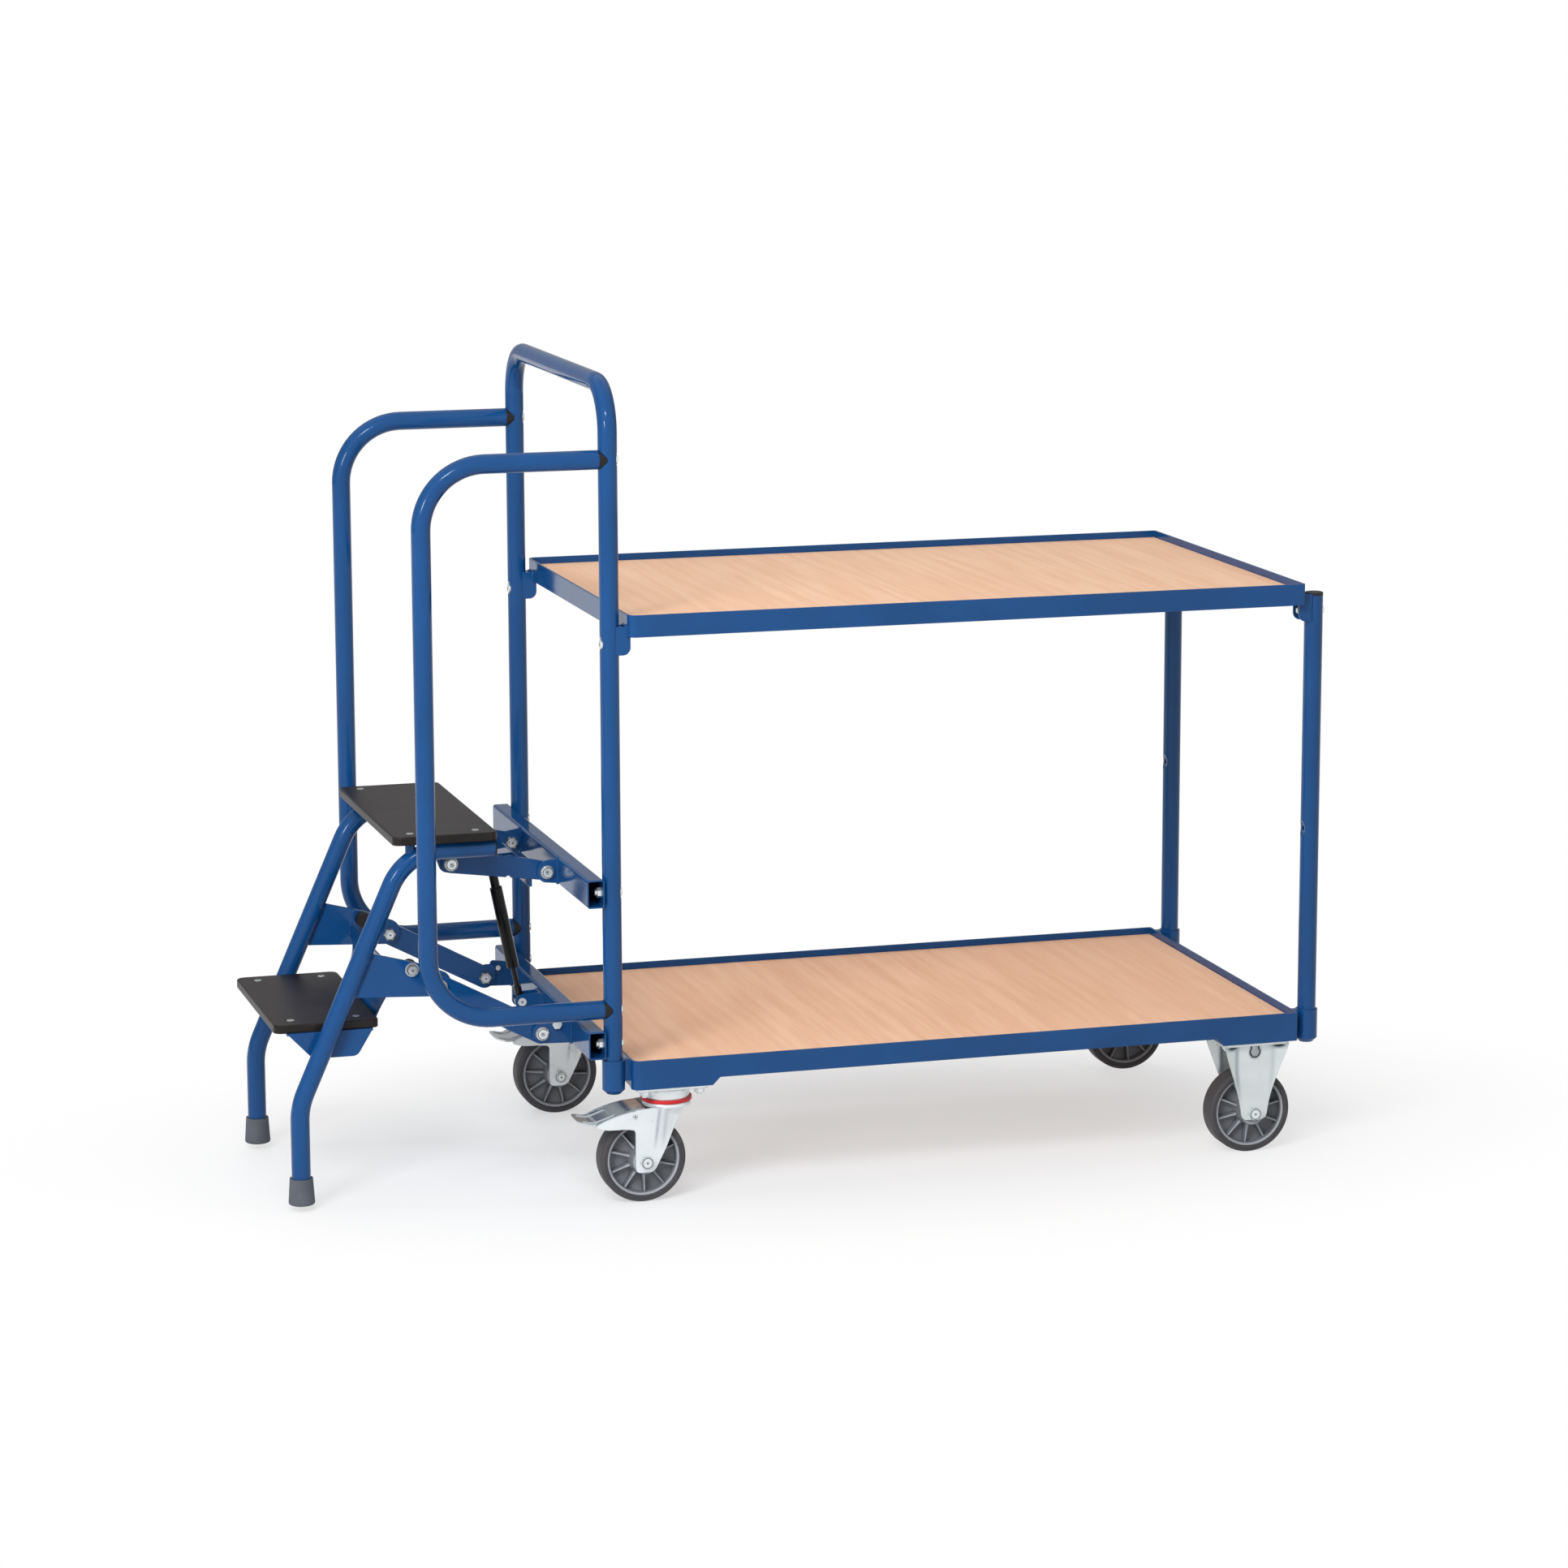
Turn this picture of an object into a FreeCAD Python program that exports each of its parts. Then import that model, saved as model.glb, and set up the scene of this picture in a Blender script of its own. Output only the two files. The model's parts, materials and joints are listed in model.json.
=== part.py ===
import FreeCAD, Part
import math
import os

# Order picking trolley with two trays and a sprung two-step ladder.
# Millimetres. +X runs from the ladder end to the far end, +Y across, +Z up.
# The origin lies on the floor, under the middle of the whole trolley.

os.makedirs("parts", exist_ok=True)

# Boards and trays
board_length = 1000.0
board_width = 600.0
board_thick = 18.0
board_gap = 1.0
tray_wall = 3.0
tray_rim = 10.0
tray_ledge = 25.0
bent_corner = 12.0
mitred_corner = 4.0
upper_board_top = 838.0
lower_board_top = 203.0

# Posts, hoop and guard rails
tube_od = 27.0
tube_wall = 2.0
post_gap = 9.0
post_inset = 24.0
hoop_axis_z = 1165.0
hoop_bend = 65.0
right_post_top = 828.0
spare_seat_z = 484.0
rail_reach = 264.0
rail_top_z = 1063.5
rail_low_z = 286.0
rail_bend = 90.0
saddle_web = 1.0
saddle_tip = 3.0
saddle_spigot = 25.0
contact_gap = 0.1
plug_cap = 4.5
plug_round = 1.5
plug_spigot = 15.0
plug_fit = 0.1
plug_seat_gap = 1.0

# Corner sockets of the lower tray
socket_wall = 2.5
socket_fit = 0.25
socket_depth = 44.0
socket_floor = 5.0
socket_chamfer = 6.0
socket_tie = 10.0

# Hook brackets of the upper tray
hook_width = 24.0
hook_sheet = 3.0
hook_top_down = 17.0
hook_height = 40.0
hook_reach = 5.0
hook_round = 11.0
hook_bolt_down = 42.0

# Frame bolts and their seats in the tubes
bolt_d = 8.0
bolt_fit = 0.2
bolt_head_af = 13.0
bolt_head_h = 5.3
bolt_nut_h = 6.5
bolt_tip = 3.0
button_d = 14.0
button_h = 3.4
button_round = 1.6
button_socket_af = 5.0
button_socket_depth = 2.0
seat_depth = 3.0
seat_length = 24.0
seat_margin = 0.6

# Crossbars between the left posts
bar_depth = 25.0
bar_height = 40.0
bar_wall = 2.0
bar_corner = 4.0
upper_bar_z = 455.0
lower_bar_z = 237.0

# Pivots of the ladder lift: distance along X from the left posts, height above the floor
upper_ear = (-54.0, 454.0)
upper_ladder = (-193.0, 473.0)
lower_ear = (-81.0, 235.0)
lower_ladder = (-226.5, 312.5)
spring_eye = (-68.5, 240.0)
spring_top = (-110.0, 447.0)

# Arms, ears and pivot pins
plate_t = 5.0
side_gap = 0.5
upper_arm_in = 108.0
upper_arm_round = 13.0
upper_arm_hump = 4.0
hump_from_pivot = 35.0
hump_round = 20.0
web_t = 4.0
web_height = 30.0
web_from_ear = 20.0
web_top_up = 8.0
lower_arm_round = 16.0
heel_low_up = 3.0
heel_top_up = 19.0
ear_round = 14.0
ear_root_half = 18.0
stop_from_ear = (21.0, 13.0)
stop_gap = 0.4
stop_cover = 11.0
pin_d = 10.0
pin_fit = 0.05
open_fit = 0.6
washer_d = 20.0
washer_t = 1.5
pin_head_d = 18.0
pin_head_h = 4.0
pin_head_round = 1.0
pin_socket_af = 6.0
pin_socket_depth = 2.5
pin_nut_af = 16.0
pin_nut_h = 7.0
nut_gap = 0.4

# Gas spring
spring_pin_d = 8.0
spring_pin_cap_d = 13.0
spring_pin_cap_h = 2.0
eye_d = 18.0
eye_width = 14.0
lug_gap = 1.0
lug_t = 4.0
lug_round = 10.0
lug_root_half = 12.0
clevis_base_t = 4.0
clevis_base_width = 36.0
clevis_base_height = 30.0
rod_d = 8.0
rod_length = 112.0
rod_neck_d = 11.0
rod_neck = 14.0
piston_h = 6.0
piston_fit = 0.1
cylinder_d = 18.0
cylinder_wall = 2.0
cylinder_start = 52.0
cylinder_length = 122.0
cylinder_end_wall = 6.0
cylinder_neck_d = 13.0
cylinder_nut_h = 6.0
cylinder_nut_af = 15.0

# Ladder legs and feet
leg_half = 176.0
leg_foot_x = -430.0
leg_knee_z = 151.0
leg_knee_bend = 100.0
leg_top_x = -272.0
leg_top_z = 508.0
leg_top_bend = 80.0
leg_end_inset = 2.0
leg_plug_cap = 2.5
foot_lift = 9.5
foot_d = 38.0
foot_top_d = 33.0
foot_height = 38.0
foot_floor = 8.0
foot_round = 3.0

# Ladder plates and buffers
gusset_top_z = 368.0
gusset_low_z = 304.0
gusset_knee_z = 348.0
gusset_knee_from_buffer = 6.5
gusset_knee_round = 12.0
gusset_round = 15.5
buffer_z = 338.5
buffer_from_riser = 5.0
buffer_d = 22.0
buffer_length = 18.0
buffer_bolt_in = 10.0
riser_t = 3.0
riser_gap = 0.5
riser_run = 25.0
riser_bend_z = 313.0
riser_top_z = 330.0
riser_notch_r = 63.5
bracket_t = 3.0
bracket_start_x = -240.0
bracket_length = 90.0
bracket_flange_t = 4.0
bracket_flange_spread = 30.0
support_t = 3.0
support_front_inset = 17.0
support_back_inset = 10.0
support_low_front = 36.0
support_low_back = 23.0
support_height = 38.0
support_low_round = 12.0

# Steps and their screws
step_depth = 150.0
step_thick = 12.0
step_corner = 12.0
step_edge = 2.5
step_overhang = 24.0
upper_step_front_x = -293.0
step_leg_gap = 4.5
lower_step_front_x = -460.0
lower_step_top = 265.5
screw_head_d = 11.0
screw_head_h = 3.0
screw_proud = 0.4
screw_d = 6.0
screw_length = 20.0
screw_fit = 0.2
screw_inset = 28.0
screw_from_leg = 32.5
screw_socket_af = 4.0
screw_socket_depth = 1.6
boss_d = 14.0

# Skirts and pads over the casters
pad_drop = 11.0
pad_t = 4.0
skirt_length = 116.5
skirt_slope = 11.0
skirt_end_slope = 42.0
pad_width = 118.0

# Caster wheels
wheel_from_side = 45.0
wheel_d = 125.0
tyre_width = 36.0
tyre_round = 7.0
rim_d = 106.5
rim_ring_t = 5.0
rim_width = 30.0
rim_web_t = 5.0
rib_count = 10
rib_t = 3.5
rib_width = 24.0
hub_d = 34.0
hub_width = 59.0
axle_d = 10.0
axle_fit = 0.05
axle_head_af = 17.0
axle_head_h = 6.5
axle_nut_h = 8.0

# Caster forks and plates
cheek_gap = 0.5
cheek_t = 3.0
swivel_from_post = 82.0
trail = 38.0
fixed_from_post = 85.0
plate_length = 105.0
plate_width = 85.0
plate_corner = 10.0
top_plate_t = 4.0
bolt_pitch_x = 80.0
bolt_pitch_y = 66.0
fixed_bolt_pitch_y = 44.0
head_d = 66.0
head_h = 17.0
head_round = 6.0
race_d = 46.0
seal_d = 73.0
seal_h = 4.7
turn_gap = 0.3
crown_d = 70.0
crown_t = 4.0
king_d = 14.0
king_fit = 0.05
king_cap_d = 26.0
king_cap_h = 4.0
fork_front = 15.5
fork_low = 15.0
fork_low_round = 6.0
fork_low_back = 11.0
fork_crease_low = (23.0, 72.0)
fork_crease_top = 19.0
fork_back_top = 60.0
fork_fold_in = 13.0
fork_neck_front = 8.0
guard_tip = (-72.0, 122.0)
guard_rise = (-45.0, 132.5)
guard_top = (-17.5, 138.5)
guard_tip_h = 4.5
guard_low = (-60.0, 113.5)
guard_root = (-15.5, 110.5)
guard_round = 5.0
fixed_low = 9.5
fixed_low_half = 19.5
fixed_low_round = 9.0
fixed_crease_low = (20.5, 67.5)
fixed_crease_top = 27.0
fixed_edge_top = 50.0
fixed_fold_out = 7.5
keyhole_d = 12.0
keyhole_neck = 8.0
keyhole_down = 11.5

# Brake pedals, from the wheel axle along X and from the floor
pedal_t = 2.5
pedal_gap = 0.5
pedal_pin_d = 6.0
pedal_pin_cap_d = 7.5
pedal_pin_cap_h = 0.8
pedal_pin = (-16.0, 130.0)
pedal_tip = (-98.0, 127.0)
pedal_dip = (-75.0, 121.5)
pedal_rise = (-23.0, 139.0)
pedal_end = (-1.0, 141.0)
pedal_dip_round = 25.0
pedal_rise_round = 40.0
pedal_tip_round = 16.0
flange_front_x = -60.0
flange_low_x = -28.0
flange_low_z = 118.0
flange_heel_x = -7.0
flange_round = 6.0
grip_rib_h = 1.5
grip_rib_width = 5.0
grip_half = 22.0
grip_front_x = -90.0
grip_back_x = -44.0

# Share of half a plate's width that its round ends take, so that a short flat is left between two arcs
round_share = 0.98

# Places that follow from the sizes above
tube_r = tube_od / 2
tube_id = tube_od - 2 * tube_wall
tray_length = board_length + 2 * (board_gap + tray_wall)
tray_half = board_width / 2 + board_gap + tray_wall
tray_height = tray_rim + board_thick + tray_wall
post_pitch = tray_length + 2 * (post_gap + tube_r)
post_half = tray_half - post_inset
socket_od = tube_od + 2 * (socket_fit + socket_wall)
right_reach = max(socket_od / 2, tube_r - seat_depth + button_h)
left_post = (-lower_step_front_x - post_pitch - right_reach) / 2
right_post = left_post + post_pitch
tray_left = left_post + tube_r + post_gap
tray_right = tray_left + tray_length
lower_rim_z = lower_board_top + tray_rim
lower_rail_z = lower_rim_z - tray_height
upper_rim_z = upper_board_top + tray_rim
upper_rail_z = upper_rim_z - tray_height
post_foot_z = lower_rim_z - socket_depth
hook_bolt_z = upper_rim_z - hook_bolt_down
post_spigot = min(plug_spigot, right_post_top - hook_bolt_z - seat_length / 2 - plug_seat_gap)
bar_face = left_post - tube_r - bar_depth
rail_end = tube_r + saddle_web
upper_ear_in = upper_arm_in + plate_t + side_gap
bracket_flange_in = upper_arm_in - side_gap - bracket_flange_t
gusset_in = leg_half - plate_t / 2
lower_arm_in = gusset_in + plate_t + side_gap
lower_ear_in = lower_arm_in + plate_t + side_gap
leg_inside = leg_half - tube_r
upper_step_half = leg_half + step_overhang
lower_step_half = leg_inside - step_leg_gap
step_seat_z = leg_top_z + tube_r
leg_end_x = upper_step_front_x + step_depth - leg_end_inset
riser_x = lower_step_front_x + step_depth + riser_run
buffer_place = (riser_x + riser_t + buffer_from_riser + buffer_d / 2, buffer_z)
gusset_knee = (buffer_place[0] + gusset_knee_from_buffer, gusset_knee_z)
support_z = lower_step_top - step_thick
pad_z = lower_rail_z - pad_drop
plate_z = pad_z - top_plate_t
head_z = plate_z - head_h
crown_z = head_z - seal_h - turn_gap
caster_half = tray_half - wheel_from_side
axle_z = wheel_d / 2
cheek_in = hub_width / 2 + cheek_gap
pedal_half = cheek_in - pedal_gap


def vec(x, y, z):
    return FreeCAD.Vector(x, y, z)


AXIS_X = vec(1, 0, 0)
AXIS_Y = vec(0, 1, 0)
AXIS_Z = vec(0, 0, 1)
SIDES = ((-1, "near"), (1, "far"))
SAME_PLACE = 1e-3


def at_post(place):
    """Place along X and Z, its X measured from the left posts' axis."""
    return (left_post + place[0], place[1])


def box(x0, x1, y0, y1, z0, z1):
    return Part.makeBox(x1 - x0, y1 - y0, z1 - z0, vec(x0, y0, z0))


def rod(start, axis, length, diameter):
    return Part.makeCylinder(diameter / 2, length, start, axis)


def hexagon(start, axis, length, across_flats):
    """Hexagonal prism from a start point along an axis."""
    radius = across_flats / math.sqrt(3)
    corners = []
    for k in range(7):
        angle = math.radians(60 * k)
        corners.append(vec(radius * math.cos(angle), radius * math.sin(angle), 0))
    prism = Part.Face(Part.makePolygon(corners)).extrude(vec(0, 0, length))
    prism.Placement = FreeCAD.Placement(start, FreeCAD.Rotation(AXIS_Z, axis))
    return prism


def rounded_path(points, radii, closed=False):
    """Straight runs joined by tangent arcs, as a wire."""
    count = len(points)
    entries, exits, middles = [], [], []
    for k in range(count):
        p = points[k]
        radius = radii[k]
        at_end = not closed and k in (0, count - 1)
        if at_end or radius <= 0:
            entries.append(p)
            exits.append(p)
            middles.append(None)
            continue
        back = (points[k - 1] - p).normalize()
        ahead = (points[(k + 1) % count] - p).normalize()
        half = back.getAngle(ahead) / 2
        bisector = (back + ahead).normalize()
        entries.append(p + back * (radius / math.tan(half)))
        exits.append(p + ahead * (radius / math.tan(half)))
        middles.append(p + bisector * (radius / math.sin(half) - radius))
    edges = []
    for k in range(count):
        if middles[k] is not None:
            edges.append(Part.Arc(entries[k], middles[k], exits[k]).toShape())
        if k < count - 1 or closed:
            following = entries[(k + 1) % count]
            if (following - exits[k]).Length > SAME_PLACE:
                edges.append(Part.LineSegment(exits[k], following).toShape())
    return Part.Wire(edges)


def sweep(path, start, axis, diameter):
    profile = Part.Face(Part.Wire([Part.Circle(start, axis, diameter / 2).toShape()]))
    return path.makePipe(profile)


def bent_tube(points, bends):
    """Outside and inside of a frame tube along straight runs and bends."""
    path = rounded_path(points, bends)
    axis = points[1] - points[0]
    return sweep(path, points[0], axis, tube_od), sweep(path, points[0], axis, tube_id)


def plate_xz(corners, y0, y1):
    """Flat plate standing in XZ, from corners (x, z, radius)."""
    points = [vec(x, y0, z) for x, z, r in corners]
    wire = rounded_path(points, [r for x, z, r in corners], True)
    return Part.Face(wire).extrude(vec(0, y1 - y0, 0))


def plate_xy(corners, z0, z1):
    """Flat plate lying in XY, from corners (x, y, radius)."""
    points = [vec(x, y, z0) for x, y, r in corners]
    wire = rounded_path(points, [r for x, y, r in corners], True)
    return Part.Face(wire).extrude(vec(0, 0, z1 - z0))


def rectangle(x0, x1, half_y, left_radius, right_radius):
    return [(x0, -half_y, left_radius), (x1, -half_y, right_radius),
            (x1, half_y, right_radius), (x0, half_y, left_radius)]


def lug(root_x, root_z, root_half, tip, tip_round):
    """Outline of an ear that stands on a face looking towards -X and ends round a pivot."""
    corner = tip_round * round_share
    return [(root_x, root_z - root_half, 0), (root_x, root_z + root_half, 0),
            (tip[0] - tip_round, tip[1] + tip_round, corner),
            (tip[0] - tip_round, tip[1] - tip_round, corner)]


def strap(p, q, radius, hump):
    """Outline of a link round two pivots, its upper edge raised between them by hump."""
    run = math.hypot(q[0] - p[0], q[1] - p[1])
    ex = (q[0] - p[0]) / run
    ez = (q[1] - p[1]) / run
    corner = radius * round_share
    places = [(-radius, -radius, corner), (run + radius, -radius, corner),
              (run + radius, radius, corner)]
    if hump > 0:
        places.append((run - hump_from_pivot, radius + hump, hump_round))
        places.append((hump_from_pivot, radius + hump, hump_round))
    places.append((-radius, radius, corner))
    return [(p[0] + ex * a - ez * u, p[1] + ez * a + ex * u, r) for a, u, r in places]


def across(side, inner, thick):
    """Y limits of a plate on one side of the middle plane, given its inner face."""
    return (inner, inner + thick) if side > 0 else (-inner - thick, -inner)


def joined(shapes):
    whole = shapes[0]
    for shape in shapes[1:]:
        whole = whole.fuse(shape)
    return whole.removeSplitter()


def drilled(shape, cutters):
    for cutter in cutters:
        shape = shape.cut(cutter)
    return shape


def edges_at(shape, z):
    """Edges of a shape that lie wholly at one height."""
    level = []
    for edge in shape.Edges:
        bounds = edge.BoundBox
        if abs(bounds.ZMin - z) < SAME_PLACE and abs(bounds.ZMax - z) < SAME_PLACE:
            level.append(edge)
    return level


def pivot_hole(place, diameter):
    """Cutter along Y right across the trolley at a place in XZ."""
    return rod(vec(place[0], -tray_half, place[1]), AXIS_Y, 2 * tray_half, diameter)


def bolt(head_face, axis, grip, diameter, head_af, head_h, nut_h):
    """Bolt with its head on head_face, shank along axis and a nut past the grip."""
    shank = rod(head_face, axis, grip + nut_h + bolt_tip, diameter)
    head = hexagon(head_face, axis * -1, head_h, head_af)
    nut = hexagon(head_face + axis * grip, axis, nut_h, head_af)
    return joined([shank, head, nut])


def socket_head(seat, outward, diameter, height, rim_round, socket_af, socket_depth):
    """Round bolt head on a seat, with a rounded rim and a hexagonal socket."""
    head = rod(seat, outward, height, diameter)
    top = seat + outward * height
    rim = [edge for edge in head.Edges if (edge.CenterOfMass - top).Length < SAME_PLACE]
    head = head.makeFillet(rim_round, rim)
    return head.cut(hexagon(top, outward * -1, socket_depth, socket_af))


def pivot_bolt(place, side, outer, inner):
    """Round-headed socket bolt along Y on a washer; outer and inner are its gripped faces."""
    outward = AXIS_Y * side
    face = vec(place[0], side * outer, place[1])
    seat = face + outward * washer_t
    head = socket_head(seat, outward, pin_head_d, pin_head_h, pin_head_round, pin_socket_af, pin_socket_depth)
    washer = rod(face, outward, washer_t, washer_d)
    grip = outer - inner
    shank = rod(seat, outward * -1, washer_t + grip + pin_nut_h + bolt_tip, pin_d)
    nut = hexagon(face + outward * -grip, outward * -1, pin_nut_h, pin_nut_af)
    return joined([head, washer, shank, nut])


def capped_pin(place, half_length, diameter, cap_d, cap_h):
    """Headed pin along Y across the middle plane."""
    shank = rod(vec(place[0], -half_length, place[1]), AXIS_Y, 2 * half_length, diameter)
    low_cap = rod(vec(place[0], -half_length - cap_h, place[1]), AXIS_Y, cap_h, cap_d)
    high_cap = rod(vec(place[0], half_length, place[1]), AXIS_Y, cap_h, cap_d)
    return joined([shank, low_cap, high_cap])


def frame_bolt(x, y, z, head_side, grip):
    """Button-headed bolt through a post, its head in the pressed seat and its nut past the grip."""
    outward = AXIS_X * head_side
    face = vec(x + head_side * (tube_r - seat_depth), y, z)
    head = socket_head(face, outward, button_d, button_h, button_round, button_socket_af, button_socket_depth)
    shank = rod(face, outward * -1, grip + bolt_nut_h + bolt_tip, bolt_d)
    nut = hexagon(face + outward * -grip, outward * -1, bolt_nut_h, bolt_head_af)
    return joined([head, shank, nut])


def seated_tube(outside, inside, x, seats):
    """Tube at x with a pressed seat and a through hole for each bolt (y, z, head side)."""
    half = seat_length / 2
    dent_r = (half ** 2 + seat_depth ** 2) / (2 * seat_depth)
    cuts = []
    for y, z, head_side in seats:
        seat_x = x + head_side * (tube_r - seat_depth)
        start = vec(seat_x + head_side * dent_r, y - tube_od, z)
        outside = outside.cut(rod(start, AXIS_Y, 2 * tube_od, 2 * dent_r))
        inside = inside.cut(rod(start, AXIS_Y, 2 * tube_od, 2 * (dent_r + tube_wall)))
        cuts.append(rod(vec(seat_x, y, z), AXIS_X * head_side, tube_od, button_d + 2 * seat_margin))
        cuts.append(rod(vec(x - tube_od, y, z), AXIS_X, 2 * tube_od, bolt_d + 2 * bolt_fit))
    return drilled(outside.cut(inside), cuts)


def save(name, shapes):
    whole = shapes[0] if len(shapes) == 1 else Part.makeCompound(shapes)
    print("%-20s solids %2d valid %s volume %.0f" % (name, len(whole.Solids), whole.isValid(), whole.Volume))
    whole.exportStep("parts/%s.step" % name)


frame_bolts = []

# Push hoop: both left posts and the push bar in one bent tube
hoop_points = [vec(left_post, -post_half, post_foot_z), vec(left_post, -post_half, hoop_axis_z),
               vec(left_post, post_half, hoop_axis_z), vec(left_post, post_half, post_foot_z)]
outside, inside = bent_tube(hoop_points, [0, hoop_bend, hoop_bend, 0])
hook_grip = 2 * tube_r - seat_depth + contact_gap + hook_sheet
rail_grip = tube_r - seat_depth + rail_end + saddle_spigot
bar_grip = 2 * tube_r - seat_depth + bar_wall
left_seats = ((rail_top_z, 1, rail_grip), (rail_low_z, 1, rail_grip), (upper_bar_z, 1, bar_grip),
              (lower_bar_z, 1, bar_grip), (hook_bolt_z, -1, hook_grip))
hoop_seats = []
for side, name in SIDES:
    for seat_z, head_side, grip in left_seats:
        hoop_seats.append((side * post_half, seat_z, head_side))
        frame_bolts.append(frame_bolt(left_post, side * post_half, seat_z, head_side, grip))
save("push_hoop", [seated_tube(outside, inside, left_post, hoop_seats)])

# Right posts and their end plugs
plugs = []
for side, name in SIDES:
    y = side * post_half
    foot = vec(right_post, y, post_foot_z)
    length = right_post_top - post_foot_z
    outside = rod(foot, AXIS_Z, length, tube_od)
    inside = rod(foot, AXIS_Z, length, tube_id)
    post_seats = [(y, hook_bolt_z, 1), (y, spare_seat_z, -1)]
    save("right_post_" + name, [seated_tube(outside, inside, right_post, post_seats)])
    frame_bolts.append(frame_bolt(right_post, y, hook_bolt_z, 1, hook_grip))
    top = foot + AXIS_Z * length
    cap = rod(top, AXIS_Z, plug_cap, tube_od)
    cap = cap.makeFillet(plug_round, edges_at(cap, top.z + plug_cap))
    plugs.append(joined([cap, rod(top, AXIS_Z * -1, post_spigot, tube_id - 2 * plug_fit)]))
save("post_plugs", plugs)


# Trays: rim, wall and ledge bent from one strip, with a board lying inside
def tray_outline(inset):
    return rectangle(tray_left + inset, tray_right - inset, tray_half - inset,
                     bent_corner - inset, mitred_corner - inset)


def tray_frame(rim_z):
    low_z = rim_z - tray_height
    shell = plate_xy(tray_outline(0), low_z, rim_z)
    shell = shell.cut(plate_xy(tray_outline(tray_wall), low_z + tray_wall, rim_z))
    window = rectangle(tray_left + tray_ledge, tray_right - tray_ledge, tray_half - tray_ledge, 0, 0)
    return shell.cut(plate_xy(window, low_z, rim_z))


save("upper_tray", [tray_frame(upper_rim_z)])
for name, top_z in (("upper_board", upper_board_top), ("lower_board", lower_board_top)):
    save(name, [plate_xy(tray_outline(tray_wall + board_gap), top_z - board_thick, top_z)])

# Lower tray with deeper walls over the casters, and the caster pads inside them
skirt_ring = plate_xy(tray_outline(0), pad_z, lower_rail_z)
skirt_ring = skirt_ring.cut(plate_xy(tray_outline(tray_wall), pad_z, lower_rail_z))
lower_tray = [tray_frame(lower_rim_z)]
pads = []
corners = [(tray_left, 1, swivel_from_post, bent_corner), (tray_right, -1, -fixed_from_post, mitred_corner)]
caster_spots = []
caster_bolts = []
for end_x, inward, from_post, corner_r in corners:
    post_x = left_post if inward > 0 else right_post
    for side, name in SIDES:
        stop_x = end_x + inward * skirt_length
        wall_y = sorted((side * tray_half, side * (tray_half - bent_corner)))
        reach = plate_xz([(end_x, pad_z, 0), (stop_x, pad_z, 0),
                          (stop_x + inward * skirt_slope, lower_rail_z, 0),
                          (end_x, lower_rail_z, 0)], wall_y[0], wall_y[1])
        lower_tray.append(skirt_ring.common(reach))
        fold_y = side * (tray_half - bent_corner)
        fold = Part.Face(Part.makePolygon([
            vec(end_x, fold_y, lower_rail_z), vec(end_x, fold_y, pad_z),
            vec(end_x, fold_y - side * skirt_end_slope, lower_rail_z), vec(end_x, fold_y, lower_rail_z)]))
        lower_tray.append(fold.extrude(AXIS_X * (inward * tray_wall)))
        pad_far_y = side * (tray_half - tray_wall - pad_width)
        pad_near_y = side * (tray_half - tray_wall)
        pad_end = end_x + inward * tray_wall
        pad = plate_xy([(pad_end, pad_near_y, corner_r - tray_wall), (stop_x, pad_near_y, 0),
                        (stop_x, pad_far_y, 0), (pad_end, pad_far_y, 0)], pad_z, pad_z + pad_t)
        spot = vec(post_x + from_post, side * caster_half, 0)
        caster_spots.append((spot, inward, name))
        pitch_y = bolt_pitch_y if inward > 0 else fixed_bolt_pitch_y
        for ix in (-1, 1):
            for iy in (-1, 1):
                place = spot + vec(ix * bolt_pitch_x / 2, iy * pitch_y / 2, pad_z + pad_t)
                pad = pad.cut(rod(place, AXIS_Z * -1, pad_t, bolt_d + 2 * bolt_fit))
                caster_bolts.append(bolt(place, AXIS_Z * -1, pad_t + top_plate_t, bolt_d,
                                         bolt_head_af, bolt_head_h, bolt_nut_h))
        pads.append(pad)
save("lower_tray", [joined(lower_tray)])
save("caster_pads", pads)
save("caster_bolts", caster_bolts)

# Corner sockets that take the posts, and hook brackets that carry the upper tray
sockets = []
hooks = []
for post_x, inward in ((left_post, 1), (right_post, -1)):
    end_x = post_x + inward * (tube_r + post_gap)
    for side, name in SIDES:
        y = side * post_half
        cup = rod(vec(post_x, y, post_foot_z - socket_floor), AXIS_Z, socket_depth + socket_floor, socket_od)
        cup = cup.makeChamfer(socket_chamfer, edges_at(cup, post_foot_z - socket_floor))
        tie_x = sorted((post_x, end_x))
        tie = box(tie_x[0], tie_x[1], y - socket_tie / 2, y + socket_tie / 2, lower_rail_z, lower_rim_z)
        bore = rod(vec(post_x, y, post_foot_z), AXIS_Z, socket_depth, tube_od + 2 * socket_fit)
        sockets.append(joined([cup, tie]).cut(bore))

        top_z = upper_rim_z - hook_top_down
        low_z = top_z - hook_height
        hook_x = end_x + inward * hook_reach
        hook = plate_xz([(post_x, top_z, 0), (end_x, top_z, 0), (end_x, upper_rail_z, 0),
                         (hook_x, upper_rail_z, 0), (hook_x, low_z, hook_round), (post_x, low_z, 0)],
                        y - hook_width / 2, y + hook_width / 2)
        post_space = rod(vec(post_x, y, low_z), AXIS_Z, hook_height, tube_od + 2 * contact_gap)
        web_x = post_x + inward * (tube_r + contact_gap + hook_sheet)
        pocket_x = sorted((web_x, hook_x))
        pocket = box(pocket_x[0], pocket_x[1], y - hook_width / 2 + hook_sheet,
                     y + hook_width / 2 - hook_sheet, low_z, top_z)
        hole = rod(vec(post_x, y, hook_bolt_z), AXIS_X * inward, tube_od, bolt_d + 2 * bolt_fit)
        hooks.append(drilled(hook, [post_space, pocket, hole]))
save("corner_sockets", sockets)
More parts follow.
